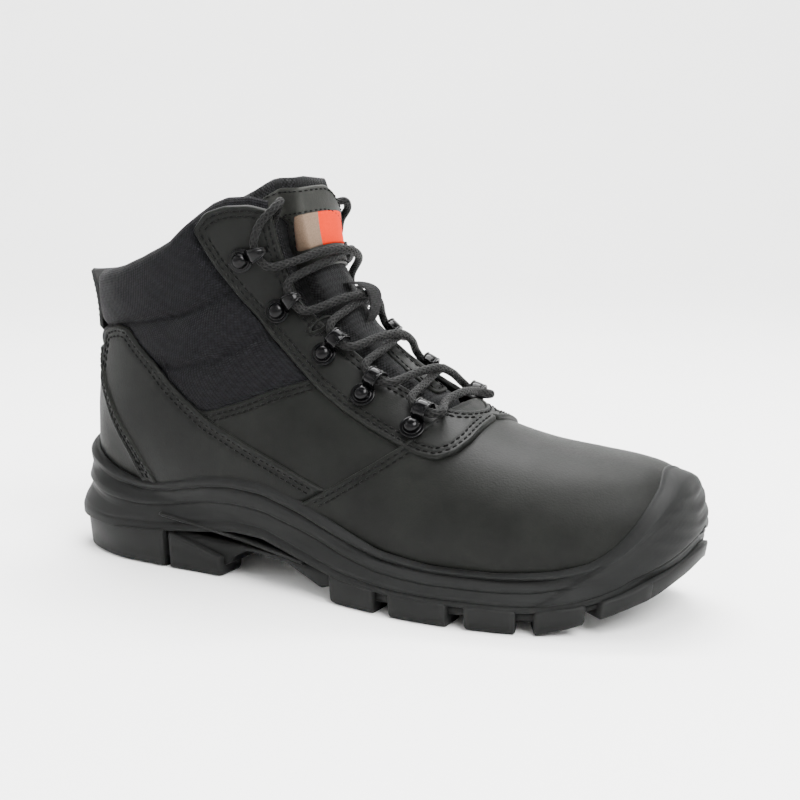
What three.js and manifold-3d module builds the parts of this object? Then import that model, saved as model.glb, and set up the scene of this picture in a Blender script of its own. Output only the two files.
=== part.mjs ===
// Right-foot lace-up safety boot, mid height, steel toe. Millimetres, +Z up, toe towards +X, outer side -Y.
// The upper is built from one shoe-last surface: panels, linings, pads and inserts are layers of it.
import * as THREE from 'three';
import { mergeVertices } from 'three/addons/utils/BufferGeometryUtils.js';
import Module from 'manifold-3d';

const wasm = await Module();
wasm.setup();

// ---- Driving dimensions ----
const ORIGIN = new THREE.Vector3(156.2, -2.6, 0); // middle of the footprint, measured from the heel
const GAP = 0.35; // between touching pieces
const LEATHER = 1.8; // thickness of the first layer of panels
const OVERLAY = 1.6; // thickness of eyestay and heel panels, sewn on top
const INSERT = 1.8; // steel toe cap and heel stiffener
const LINING = 1.0;
const LINING_DEPTH = LEATHER + INSERT + 2 * GAP; // from the last surface in to the lining
const COLLAR_PAD = 4.6; // extra foam depth at the collar
const LIP = 4.0; // thickness of the sole's wall where it grips the upper
const BOARD = 1.7; // insole board
const PLATE = 1.0; // puncture-resistant plate
const FOOTBED = 5.5;
const MARGIN = 4.0; // height of the lower edge of every panel over the last's sole
const PULL_TAB = 3.2; // doubled webbing
const PULL_TAB_LEAN = [1.1, 5]; // clearance to the collar at the seam, and how much more at the free end
const PULL_TAB_HEIGHTS = [103.5, 134];

// Tongue: places are shares of the last from the toe tip (0) to above the collar (1).
const TONGUE_ENDS = [0.362, 0.985];
const TONGUE_REACH = [[0.36, 0.5], [0.6, 0.75], [0.8, 1.0], [0.93, 1.22], [1, 1.28]]; // place, half angle
const TONGUE = 6.0; // padding in the middle
const TONGUE_EDGE = 2.4;
const CROWN = -1.5; // height of the tongue's middle over the last surface
const GUSSET_ROOM = 2.3; // between lining and tongue, where the gusset lies
const GUSSET_ENDS = [0.42, 0.64];
const TUCK = 6.4; // room beside the tongue where the lace ends are tucked

// Hardware and lace
const RING_PLACES = [[0.435, 0.7], [0.538, 0.7], [0.642, 0.67], [0.765, 0.76], [0.876, 1.0]]; // place, angle
const RING_LIFT = 0.5; // keeps a flat plate clear of the hollow at the instep
const RING_PLATE = { radius: 5.4, thickness: 1.1, height: 2.85, eye: 1.9 };
const EYE = 8.4; // from the rivet to the middle of the lace's way through the loop
const EYE_HEIGHT = 4.8; // of the lace over the ring's own base
const CORD = 4.5; // lace diameter
const CORD_SIDES = 8;
const UNDER = 2.8; // height of the lower cord of a crossing over the last surface
const OVER = 7.6; // height of the upper one
const SHOULDER = 5.5; // height at which the cords cross the eyestays' edges
const TUCKED = -8.4; // height of the hidden ends, between lining and tongue
const AGLET = 12; // length of the plastic tips
const AGLET_WIDTH = 0.8; // of the cord's own width
// From the top ring to the hidden tip: place, angle, height.
const LACE_END = [[0.926, 0.82, 5.6], [0.944, 0.72, 6.4], [0.953, 0.655, 3.6], [0.947, 0.645, -1.5],
  [0.93, 0.66, -6.5], [0.905, 0.71, TUCKED], [0.87, 0.73, TUCKED], [0.84, 0.72, TUCKED]];
const KEEPER_PLACE = 0.7035; // webbing loop on the tongue that holds the lace
const KEEPER_LENGTH = 0.1;
const KEEPER_RISE = 11.8;
const KEEPER_HALF = 0.09;

// ---- The last: sections that fan from the toe to above the collar ----
// ridge x, z; sole or back x, z; half width outer, inner; height share of the widest point;
// roundness above and below it; sideways shift
const STATIONS = [
  [304.5, 36, 304.5, 36, 0, 0, 0.62, 2.0, 2.6, 6],
  [303.5, 46, 302, 25, 13, 13, 0.64, 2.1, 2.8, 6],
  [299.5, 54.5, 296, 20, 25, 23, 0.67, 2.2, 3.0, 6],
  [291, 60.5, 286, 18, 34.5, 31, 0.7, 2.2, 3.2, 5.5],
  [279, 63.5, 273, 16.5, 41.5, 37.5, 0.72, 2.2, 3.4, 4.5],
  [262, 65.5, 255, 15.5, 47, 43, 0.72, 2.2, 3.5, 3],
  [240, 68.5, 230, 15, 50, 47, 0.71, 2.15, 3.5, 1],
  [219, 74.5, 203, 15, 50, 47, 0.72, 2.1, 3.5, 0],
  [201, 83, 176, 16, 47, 44, 0.72, 2.1, 3.4, -0.5],
  [186, 92, 148, 17, 44, 40.5, 0.71, 2.1, 3.2, -1],
  [173, 101.5, 118, 19, 41.5, 37.5, 0.69, 2.1, 3.0, -1],
  [161, 112.5, 84, 22, 40, 35.5, 0.66, 2.15, 2.9, -0.5],
  [152, 123, 46, 26, 38.5, 35, 0.62, 2.2, 2.8, 0],
  [146, 133, 18, 38, 37, 34.5, 0.58, 2.2, 2.6, 0],
  [142.5, 142, 13.5, 62, 37, 36, 0.54, 2.2, 2.4, 0],
  [140, 151, 15.5, 88, 38, 37.5, 0.51, 2.2, 2.25, 0],
  [138.5, 160, 19, 112, 39, 38.5, 0.5, 2.2, 2.2, 0],
  [138, 169, 20, 132, 39.5, 39, 0.49, 2.2, 2.2, 0],
  [139, 182, 20, 152, 40, 39.5, 0.48, 2.2, 2.2, 0],
];
const ROWS = 17; // sections sampled along the last, closer at the toe
const ROW_CROWDING = 1.15;
const SPOKES = 26; // points around each section

// ---- Sole: its wall as x, half width outer, half width inner; its grooves as x, width, top ----
const FOOTPRINT = [[4, 0, 0], [5.5, 10, 10], [11, 20, 19.5], [22, 29, 27.5], [40, 37, 35.5], [62, 40, 38],
  [90, 41, 36.5], [120, 43, 35.5], [150, 48, 39.5], [180, 54, 46], [205, 57, 50.5], [230, 56, 52],
  [255, 51, 50], [275, 42.5, 45.5], [290, 31, 38], [300, 18.5, 30], [306, 5, 20], [308.5, -6, 6]];
const GROOVES = [[72, 7, 7], [193, 7, 4.5], [226.5, 8, 4.5], [254, 7, 4.5], [278, 7, 10.5]];
const GROOVE_TAPER = 1.5;

// ---- Outlines seen from the side, as x, z points ----
const FLOOR = [[0, 30], [20, 28], [46, 26], [84, 22], [118, 19], [148, 17], [176, 16], [203, 15],
  [230, 15], [255, 15.5], [273, 16.5], [286, 18], [296, 20], [312, 25]];
const SOLE_BOTTOM = [[-5, 22], [4, 13], [8, 5], [14, 0], [104, 0], [109, 9], [117, 13.5], [140, 12],
  [157, 6], [170, 0], [256, 0], [270, 3.5], [285, 8.5], [298, 13.5], [306, 20], [315, 32]];
const PARTING = [[-5, 26], [10, 15], [60, 13], [104, 17], [118, 21], [146, 17.5], [172, 9],
  [256, 8], [272, 11], [287, 14.5], [300, 22], [315, 38]];
const SOLE_LIP = [[315, 72], [286, 72], [291, 61], [294, 56], [292.5, 50], [289, 42], [283, 34],
  [275, 28], [262, 24.5], [241, 22], [212, 22], [188, 25], [169, 32.5], [148, 41], [129, 46], [112, 47],
  [96, 45.5], [80, 41.5], [66, 38.5], [54, 38], [38, 41.5], [26, 47.5], [14, 54], [-5, 58]];
const VAMP_SEAM = [[141, 20], [146, 38], [163, 48], [181, 59], [193, 67], [204, 76], [212, 96]];
const TEXTILE_LOW = [[-5, 100], [42, 100], [62, 88], [82, 74.5], [96, 74], [116, 81], [128, 86],
  [147, 92], [164, 106], [176, 124]];
const BACKSTAY_EDGE = [[42, 100], [52, 74], [66, 54], [76, 36], [78, 20]];
const RIM = [[-5, 134.5], [34, 135.5], [50, 138.5], [62, 142.5], [73, 147], [80, 150.5], [86, 156],
  [93, 160.5], [106, 164], [117, 165], [126, 161], [150, 152], [185, 150]];
const HEEL_PANEL = [[37, 106.5], [45, 109.5], [52, 109], [60, 101.5], [67, 95], [74, 87.5], [83, 80],
  [97, 71], [120, 61.5], [147, 52], [160, 46.5], [164, 30], [90, 20], [72, 30], [66, 41], [57, 53],
  [44, 70], [36, 84], [33, 98]];
const EYESTAY = [[92, 154.5], [98, 162.5], [107, 166], [117, 166.5], [127, 162.5], [160, 172], [245, 100],
  [231, 77], [228, 71], [225, 66.5], [219, 63], [210, 62], [199, 64], [178, 72.5], [164, 79],
  [151, 87], [138, 97.5], [125, 109], [112, 124], [101, 139]];
const TOE_CAP = [[236, -5], [246, 20], [250, 45], [243, 90], [330, 90], [330, -5]];
const STIFFENER = [[-5, 80], [30, 82], [58, 62], [84, 44], [88, -5], [-5, -5]];
const LINING_SEAM = [[150, -5], [158, 30], [186, 58], [216, 96], [216, 130]];
const COLLAR_FOAM = [[-5, 86], [40, 84], [62, 86], [80, 82], [100, 80], [118, 88], [120, 108], [110, 124],
  [100, 140], [93, 158], [86, 154], [80, 148.5], [73, 145], [62, 140.5], [50, 136.5], [34, 133.5],
  [-5, 132.5]];
const THROAT = [[0.379, 0.6], [0.386, 8], [0.402, 13], [0.43, 16.3], [0.5, 17.5], [0.6, 18.5], [0.7, 20],
  [0.8, 22], [0.88, 25], [0.95, 27.5], [1, 29]]; // place along the last, half width of the opening

// ---- Interpolation ----
const lerpTable = (table, x, column = 1) => {
  if (x <= table[0][0]) return table[0][column];
  for (let i = 1; i < table.length; i++) {
    if (x <= table[i][0]) {
      const share = (x - table[i - 1][0]) / (table[i][0] - table[i - 1][0]);
      return table[i - 1][column] * (1 - share) + table[i][column] * share;
    }
  }
  return table.at(-1)[column];
};
const smooth = (low, high, x) => THREE.MathUtils.smoothstep(x, low, high);

const stationPlaces = (() => {
  const places = [0];
  for (let i = 1; i < STATIONS.length; i++) {
    const [a, b] = [STATIONS[i - 1], STATIONS[i]];
    const ridge = Math.hypot(b[0] - a[0], b[1] - a[1]);
    const middle = Math.hypot(b[0] + b[2] - a[0] - a[2], b[1] + b[3] - a[1] - a[3]) / 2;
    places.push(places[i - 1] + (ridge + middle) / 2);
  }
  return places.map((place) => place / places.at(-1));
})();

// Non-uniform cubic through the stations: every column of the table at place t.
function stationAt(t) {
  const last = STATIONS.length - 1;
  let i = 0;
  while (i < last - 1 && stationPlaces[i + 1] <= t) i++;
  const span = stationPlaces[i + 1] - stationPlaces[i];
  const u = THREE.MathUtils.clamp((t - stationPlaces[i]) / span, 0, 1);
  const slope = (j, k) => {
    const [lo, hi] = [Math.max(j - 1, 0), Math.min(j + 1, last)];
    return (STATIONS[hi][k] - STATIONS[lo][k]) / (stationPlaces[hi] - stationPlaces[lo]);
  };
  return STATIONS[i].map((value, k) => value * (2 * u ** 3 - 3 * u ** 2 + 1)
    + slope(i, k) * span * (u ** 3 - 2 * u ** 2 + u)
    + STATIONS[i + 1][k] * (3 * u ** 2 - 2 * u ** 3)
    + slope(i + 1, k) * span * (u ** 3 - u ** 2));
}

// Point on the last: t from the toe tip (0) to above the collar (1); angle 0 on the ridge, pi underneath
// or at the back, positive on the outer side.
function lastPoint(t, angle) {
  const [rx, rz, bx, bz, outer, inner, share, above, below, shift] = stationAt(t);
  const turn = Math.atan2(Math.sin(angle), Math.cos(angle));
  const [c, s] = [Math.abs(Math.cos(turn)), Math.abs(Math.sin(turn))];
  const upper = Math.abs(turn) <= Math.PI / 2;
  const power = 2 / (upper ? above : below);
  const along = upper ? share * (1 - c ** power) : share + (1 - share) * c ** power;
  const side = (turn > 0 ? -outer : inner) * s ** power;
  return new THREE.Vector3(rx + along * (bx - rx), side + shift, rz + along * (bz - rz));
}

function lastNormal(t, angle) {
  if (t < 0.004) return new THREE.Vector3(1, 0, 0);
  const [dt, da] = [0.004, 0.03];
  const alongT = lastPoint(Math.min(t + dt, 1), angle).sub(lastPoint(t - dt, angle));
  const alongA = lastPoint(t, angle + da).sub(lastPoint(t, angle - da));
  return alongT.cross(alongA).normalize();
}

const lastOffset = (t, angle, out) => lastPoint(t, angle).addScaledVector(lastNormal(t, angle), out);

// Extra depth of the padded collar, full in the quarters and none at the throat and low down.
function padDepth(t, angle) {
  const height = lastPoint(t, angle).z;
  return COLLAR_PAD * smooth(58, 88, height) * smooth(0.8, 1.25, Math.abs(angle));
}

// ---- Solids ----
function solidOf(geometry) {
  const plain = geometry.clone();
  for (const name of Object.keys(plain.attributes)) {
    if (name !== 'position') plain.deleteAttribute(name);
  }
  const merged = mergeVertices(plain, 1e-4);
  return new wasm.Manifold(new wasm.Mesh({
    numProp: 3,
    vertProperties: new Float32Array(merged.attributes.position.array),
    triVerts: new Uint32Array(merged.index.array),
  }));
}

function geometryOf(solid) {
  const mesh = solid.getMesh();
  const geometry = new THREE.BufferGeometry();
  geometry.setAttribute('position', new THREE.BufferAttribute(new Float32Array(mesh.vertProperties), 3));
  geometry.setIndex(new THREE.BufferAttribute(new Uint32Array(mesh.triVerts), 1));
  return geometry;
}

function meshFrom(points, faces) {
  const geometry = new THREE.BufferGeometry();
  const flat = points.flatMap((p) => [p.x, p.y, p.z]);
  geometry.setAttribute('position', new THREE.Float32BufferAttribute(flat, 3));
  geometry.setIndex(faces.flat());
  return geometry;
}

// A stack of closed rings with the same number of points; a ring of one point closes to a tip.
function ringStack(rings) {
  const points = rings.flat();
  const starts = rings.map((_, i) => rings.slice(0, i).reduce((sum, ring) => sum + ring.length, 0));
  const faces = [];
  for (let i = 0; i + 1 < rings.length; i++) {
    const count = Math.max(rings[i].length, rings[i + 1].length);
    for (let j = 0; j < count; j++) {
      const next = (j + 1) % count;
      const low = (k) => starts[i] + (rings[i].length > 1 ? k : 0);
      const high = (k) => starts[i + 1] + (rings[i + 1].length > 1 ? k : 0);
      if (rings[i].length > 1) faces.push([low(j), low(next), high(j)]);
      if (rings[i + 1].length > 1) faces.push([low(next), high(next), high(j)]);
    }
  }
  return outward(meshFrom(points, faces));
}

const centreOf = (ring) => ring.reduce((sum, p) => sum.add(p), new THREE.Vector3()).divideScalar(ring.length);

// The whole last, grown or shrunk: out is a distance or a function of place and angle.
const lastSolids = new Map();
function lastSolid(out) {
  if (lastSolids.has(out)) return lastSolids.get(out);
  const distance = typeof out === 'number' ? () => out : out;
  const rings = [[lastOffset(0, 0, distance(0, 0))]];
  for (let i = 1; i <= ROWS; i++) {
    const t = (i / ROWS) ** ROW_CROWDING;
    const ring = [];
    for (let j = 0; j < SPOKES; j++) {
      const angle = (j / SPOKES) * 2 * Math.PI - Math.PI;
      ring.push(lastOffset(t, angle, distance(t, angle)));
    }
    rings.push(ring);
  }
  rings.push([centreOf(rings.at(-1))]);
  const solid = solidOf(ringStack(rings));
  lastSolids.set(out, solid);
  return solid;
}

const shell = (outer, inner) => lastSolid(outer).subtract(lastSolid(inner));

// Everything inside an outline seen from the side, between two widths.
function sideBlock(outline, low = -90, high = 90) {
  const shape = new THREE.Shape(outline.map(([x, z]) => new THREE.Vector2(x, z)));
  const block = new THREE.ExtrudeGeometry(shape, { depth: high - low, bevelEnabled: false, steps: 1 });
  block.applyMatrix4(new THREE.Matrix4().makeBasis(
    new THREE.Vector3(1, 0, 0), new THREE.Vector3(0, 0, 1), new THREE.Vector3(0, -1, 0),
  ));
  block.translate(0, high, 0);
  return solidOf(block);
}

const SIDES = { L: [-90, -GAP / 2], M: [GAP / 2, 90] };
const shiftUp = (line, dz) => line.map(([x, z]) => [x, z + dz]);
const shiftAlong = (line, dx) => line.map(([x, z]) => [x + dx, z]);
const above = (line, top = 200) => [...line, [line.at(-1)[0], top], [line[0][0], top]];
const below = (line, bottom = -10) => [...line, [line.at(-1)[0], bottom], [line[0][0], bottom]];
const floorLine = (rise) => shiftUp(FLOOR, rise);
const overMargin = sideBlock(above(floorLine(MARGIN)));
const overLip = sideBlock(above(shiftUp([...SOLE_LIP].reverse(), GAP)));

// The opening between the eyestays, as a wedge through all layers.
function throatCutter() {
  const rings = THROAT.map(([t, half]) => {
    const ridge = lastPoint(t, 0);
    const out = lastNormal(t, 0);
    return [[-half, -22], [half, -22], [half, 22], [-half, 22]].map(([y, depth]) =>
      ridge.clone().addScaledVector(out, depth).add(new THREE.Vector3(0, y - ridge.y, 0)));
  });
  return solidOf(ringStack([[centreOf(rings[0])], ...rings, [centreOf(rings.at(-1))]]));
}
const throat = throatCutter();

// A patch of the last between two depths, four-sided in place and angle.
function patch({ place, angle, top, bottom, rows, columns }) {
  const layer = (depth) => {
    const grid = [];
    for (let i = 0; i <= rows; i++) {
      for (let j = 0; j <= columns; j++) {
        const a = angle(i / rows, (j / columns) * 2 - 1);
        const t = place(i / rows, (j / columns) * 2 - 1);
        grid.push(lastOffset(t, a, depth(t, a, i / rows, (j / columns) * 2 - 1)));
      }
    }
    return grid;
  };
  const points = [...layer(top), ...layer(bottom)];
  const half = points.length / 2;
  const at = (i, j) => i * (columns + 1) + j;
  const faces = [];
  for (let i = 0; i < rows; i++) {
    for (let j = 0; j < columns; j++) {
      const [a, b, c, d] = [at(i, j), at(i + 1, j), at(i + 1, j + 1), at(i, j + 1)];
      faces.push([a, b, c], [a, c, d], [half + a, half + c, half + b], [half + a, half + d, half + c]);
    }
  }
  const rim = [];
  for (let j = 0; j < columns; j++) rim.push(at(0, j));
  for (let i = 0; i < rows; i++) rim.push(at(i, columns));
  for (let j = columns; j > 0; j--) rim.push(at(rows, j));
  for (let i = rows; i > 0; i--) rim.push(at(i, 0));
  rim.forEach((a, k) => {
    const b = rim[(k + 1) % rim.length];
    faces.push([a, b, half + b], [a, half + b, half + a]);
  });
  return outward(meshFrom(points, faces));
}

// Turns a closed geometry's faces so that they point out.
function outward(geometry) {
  const p = geometry.attributes.position;
  const index = [...geometry.index.array];
  const [a, b, c] = [new THREE.Vector3(), new THREE.Vector3(), new THREE.Vector3()];
  let volume = 0;
  for (let i = 0; i < index.length; i += 3) {
    a.fromBufferAttribute(p, index[i]);
    b.fromBufferAttribute(p, index[i + 1]);
    c.fromBufferAttribute(p, index[i + 2]);
    volume += a.dot(b.cross(c));
  }
  if (volume < 0) {
    for (let i = 0; i < index.length; i += 3) [index[i], index[i + 1]] = [index[i + 1], index[i]];
    geometry.setIndex(index);
  }
  return geometry;
}

// ---- Materials ----
const finish = (color, roughness, metalness = 0) =>
  new THREE.MeshStandardMaterial({ color, roughness, metalness });
const FINISH = {
  leather: finish(0x23241f, 0.55),
  leatherOverlay: finish(0x1d1e1b, 0.5),
  textile: finish(0x17181b, 0.9),
  lining: finish(0x2b2b2d, 0.95),
  foam: finish(0x8f8f86, 0.95),
  steel: finish(0xa4a6a8, 0.35, 1),
  board: finish(0xb8ab8c, 0.85),
  footbed: finish(0x3a3c40, 0.9),
  midsole: finish(0x2a2b2a, 0.6),
  outsole: finish(0x1f2020, 0.7),
  hardware: finish(0x0c0c0d, 0.25, 0.6),
  webbing: finish(0x141416, 0.85),
  labelLeft: finish(0x6f5f53, 0.6),
  cord: finish(0x1b1c1c, 0.85),
};

const boot = new THREE.Group();
boot.position.copy(ORIGIN).negate();

function add(name, geometry, material) {
  const mesh = new THREE.Mesh(geometry, material);
  mesh.name = name;
  boot.add(mesh);
}
const addSolid = (name, solid, material) => add(name, geometryOf(solid), material);

// ---- Sole ----
function footprintRing(z, inset) {
  const outer = FOOTPRINT.map(([x, half]) => [x, -half]);
  const inner = FOOTPRINT.slice(1, -1).reverse().map(([x, , half]) => [x, half]);
  const loop = [...outer, ...inner];
  return loop.map(([x, y], i) => {
    const [px, py] = loop[(i + loop.length - 1) % loop.length];
    const [nx, ny] = loop[(i + 1) % loop.length];
    const length = Math.hypot(nx - px, ny - py);
    const lip = typeof z === 'function' ? z(x) : z;
    return new THREE.Vector3(x - ((ny - py) / length) * inset, y + ((nx - px) / length) * inset, lip);
  });
}

function makeSole() {
  const lipHeight = [...SOLE_LIP].reverse().filter(([x]) => x > 10 && x < 284);
  const wallTop = (x) => Math.min(lerpTable(lipHeight, x), 44);
  const rings = [footprintRing(-2, 2), footprintRing(8, 0), footprintRing((x) => 0.3 * wallTop(x) + 7, 0.4),
    footprintRing((x) => 0.75 * wallTop(x) + 1, 3), footprintRing((x) => wallTop(x) - 1, 8)];
  const wall = solidOf(ringStack([[centreOf(rings[0])], ...rings, [centreOf(rings.at(-1))]]));
  const profile = sideBlock([...SOLE_BOTTOM, ...SOLE_LIP]);
  const cup = lastSolid(LIP).add(wall).intersect(profile).subtract(lastSolid(GAP));
  const midsole = cup.intersect(sideBlock(above(shiftUp(PARTING, GAP))));
  let outsole = cup.intersect(sideBlock(below(PARTING)));
  for (const [x, width, top] of GROOVES) {
    const [foot, roof] = [width / 2, width / 2 - GROOVE_TAPER];
    outsole = outsole.subtract(sideBlock([[x - foot, -5], [x + foot, -5], [x + roof, top], [x - roof, top]]));
  }
  addSolid('midsole', midsole, FINISH.midsole);
  addSolid('outsole', outsole, FINISH.outsole);
}

// ---- Inside of the boot, under the foot ----
function makeInsole() {
  const band = (low, high) => sideBlock([...floorLine(low), ...floorLine(high).reverse()]);
  const inside = lastSolid(-GAP);
  addSolid('insole_board', inside.intersect(band(-8, BOARD)), FINISH.board);
  addSolid('puncture_plate', inside.intersect(band(BOARD + GAP, BOARD + GAP + PLATE)), FINISH.steel);
  const bedLow = MARGIN + GAP;
  const cavity = lastSolid(-(LINING_DEPTH + LINING + GAP));
  addSolid('footbed', cavity.intersect(band(bedLow, bedLow + FOOTBED)), FINISH.footbed);
}

// ---- Inserts between upper and lining ----
function makeInserts() {
  const layer = shell(-(LEATHER + GAP), -(LEATHER + GAP + INSERT)).intersect(overMargin);
  addSolid('steel_toe_cap', layer.intersect(sideBlock(TOE_CAP)), FINISH.steel);
  addSolid('heel_stiffener', layer.intersect(sideBlock(STIFFENER)), FINISH.board);
}

// ---- First layer of the upper ----
function makePanels() {
  const layer = shell(0, -LEATHER).intersect(overMargin).subtract(throat);
  const vampArea = [...VAMP_SEAM, [330, 96], [330, -5], [141, -5]];
  addSolid('vamp', layer.intersect(sideBlock(vampArea)), FINISH.leather);
  const textileArea = [...TEXTILE_LOW, ...[...RIM].reverse()];
  const backstayArea = [[-5, 100 - GAP], ...shiftUp(BACKSTAY_EDGE, -GAP), [78, -5], [-5, -5]];
  const sideArea = [...shiftAlong(shiftUp(BACKSTAY_EDGE, -GAP), GAP + 0.05).reverse(),
    ...shiftUp(TEXTILE_LOW.slice(2), -GAP - 0.2), [212 - GAP, 124],
    ...shiftAlong([...VAMP_SEAM].reverse(), -GAP - 0.1), [141 - GAP, -5], [78.4, -5]];
  addSolid('backstay', layer.intersect(sideBlock(backstayArea)), FINISH.leather);
  for (const [side, range] of Object.entries(SIDES)) {
    addSolid(`side_panel_${side}`, layer.intersect(sideBlock(sideArea, ...range)), FINISH.leather);
    addSolid(`collar_textile_${side}`, layer.intersect(sideBlock(textileArea, ...range)), FINISH.textile);
  }
}

// ---- Panels sewn on top ----
function makeOverlays() {
  const layer = shell(GAP + OVERLAY, GAP).subtract(throat);
  addSolid('eyestay', layer.intersect(sideBlock(EYESTAY)), FINISH.leatherOverlay);
  for (const [side, range] of Object.entries(SIDES)) {
    const panel = layer.intersect(sideBlock(HEEL_PANEL, ...range)).intersect(overLip);
    addSolid(`heel_panel_${side}`, panel, FINISH.leatherOverlay);
  }
}

// ---- Foam and lining ----
const liningOuter = (t, a) => -(LINING_DEPTH + padDepth(t, a));
const liningInner = (t, a) => liningOuter(t, a) - LINING;
const foamInner = (t, a) => liningOuter(t, a) + GAP;

function makeLining() {
  const underRim = sideBlock(below(shiftUp(RIM, -0.5)));
  const layer = shell(liningOuter, liningInner).intersect(overMargin).intersect(underRim).subtract(throat);
  addSolid('vamp_lining', layer.intersect(sideBlock([...LINING_SEAM, [330, 130], [330, -5]])), FINISH.lining);
  const rear = [...shiftAlong([...LINING_SEAM].reverse(), -GAP - 0.1), [-5, -5], [-5, 200], [216, 200]];
  addSolid('collar_lining', layer.intersect(sideBlock(rear)), FINISH.lining);
  const foam = shell(-(LEATHER + GAP), foamInner);
  addSolid('collar_padding', foam.intersect(sideBlock(COLLAR_FOAM)), FINISH.foam);
}

// ---- Tongue ----
const throatAngle = (t) => {
  const [, , , , outer, , , roundness] = stationAt(t);
  return Math.asin(Math.min(1, (lerpTable(THROAT, t) / outer) ** (roundness / 2)));
};

// Depth of the tongue's face: crowned in the throat, deeper under the eyestays and beside the tucked laces.
function tongueFace(t, a) {
  const room = GUSSET_ROOM + (TUCK - GUSSET_ROOM) * smooth(0.66, 0.73, t);
  const deep = liningInner(t, a) - room;
  const edge = throatAngle(t);
  const crown = (1 - smooth(0.55 * edge, 0.8 * edge, Math.abs(a))) * smooth(0.405, 0.45, t);
  return deep + (CROWN - deep) * crown;
}
const tonguePatch = (lowT, highT, reach, out, thick, rows, columns) => patch({
  place: (u) => lowT + (highT - lowT) * u,
  angle: (u, v) => reach * v,
  top: (t, a) => tongueFace(t, a) + out + thick,
  bottom: (t, a) => tongueFace(t, a) + out,
  rows,
  columns,
});

function makeTongue() {
  const [low, high] = TONGUE_ENDS;
  add('tongue_pad', patch({
    place: (u) => low + (high - low) * u,
    angle: (u, v) => lerpTable(TONGUE_REACH, low + (high - low) * u) * v,
    top: tongueFace,
    bottom: (t, a, u, v) => {
      const swell = smooth(0.42, 0.55, t) * (1 - 0.6 * v ** 4);
      return tongueFace(t, a) - TONGUE_EDGE - (TONGUE - TONGUE_EDGE) * swell;
    },
    rows: 18,
    columns: 14,
  }), FINISH.textile);
  add('tongue_top_patch', tonguePatch(0.855, 0.965, 0.38, 2 * GAP, 1.0, 4, 6), FINISH.leather);
  add('tongue_label', tonguePatch(0.885, 0.94, 0.35, 1.0 + 3 * GAP, 0.8, 2, 6), FINISH.labelLeft);
  add('tongue_lower_patch', tonguePatch(0.455, 0.6, 0.13, GAP, 0.8, 5, 2), FINISH.leather);
  const arch = (u) => GAP + (KEEPER_RISE - GAP) * Math.sin(Math.PI * u) ** 0.6;
  add('lace_keeper', patch({
    place: (u) => KEEPER_PLACE + KEEPER_LENGTH * (u - 0.5),
    angle: (u, v) => KEEPER_HALF * v,
    top: (t, a, u) => CROWN + arch(u) + 0.9,
    bottom: (t, a, u) => CROWN + arch(u),
    rows: 10,
    columns: 2,
  }), FINISH.webbing);
  const gussetPlace = (u) => GUSSET_ENDS[0] + (GUSSET_ENDS[1] - GUSSET_ENDS[0]) * u;
  for (const [name, side] of [['gusset_L', 1], ['gusset_M', -1]]) {
    add(name, patch({
      place: gussetPlace,
      angle: (u, v) => side * (throatAngle(gussetPlace(u)) + 0.2 + 0.13 * v),
      top: (t, a) => liningInner(t, a) - 2 * GAP,
      bottom: (t, a) => liningInner(t, a) - 2 * GAP - 0.8,
      rows: 6,
      columns: 3,
    }), FINISH.textile);
  }
}

// ---- Pull tab at the back of the collar ----
const placeAtBack = (z) => {
  let [low, high] = [0.6, 1];
  for (let i = 0; i < 30; i++) {
    const middle = (low + high) / 2;
    if (lastPoint(middle, Math.PI).z < z) low = middle;
    else high = middle;
  }
  return low;
};

function makePullTab() {
  const [low, high] = PULL_TAB_HEIGHTS.map(placeAtBack);
  const lean = (u) => PULL_TAB_LEAN[0] + PULL_TAB_LEAN[1] * u ** 1.5;
  add('pull_tab', patch({
    place: (u) => low + (high - low) * u,
    angle: (u, v) => Math.PI + 0.36 * v,
    top: (t, a, u) => lean(u) + PULL_TAB,
    bottom: (t, a, u) => lean(u),
    rows: 6,
    columns: 4,
  }), FINISH.webbing);
}

// ---- Lace rings: a loop held by a domed rivet, in pairs up the throat ----

// Axes at a ring: u towards the throat, w up along it, n out of the leather.
function ringFrame(row, side) {
  const [t, angle] = RING_PLACES[row];
  const a = angle * side;
  const n = lastNormal(t, a);
  const u = lastPoint(t, a - side * 0.05).sub(lastPoint(t, a + side * 0.05));
  u.addScaledVector(n, -u.dot(n)).normalize();
  const w = new THREE.Vector3().crossVectors(n, u).multiplyScalar(side);
  return { origin: lastOffset(t, a, RING_LIFT), u, w, n };
}
const onRing = ({ origin, u, w, n }, du, dw, dn) =>
  origin.clone().addScaledVector(u, du).addScaledVector(w, dw).addScaledVector(n, dn);

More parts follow.
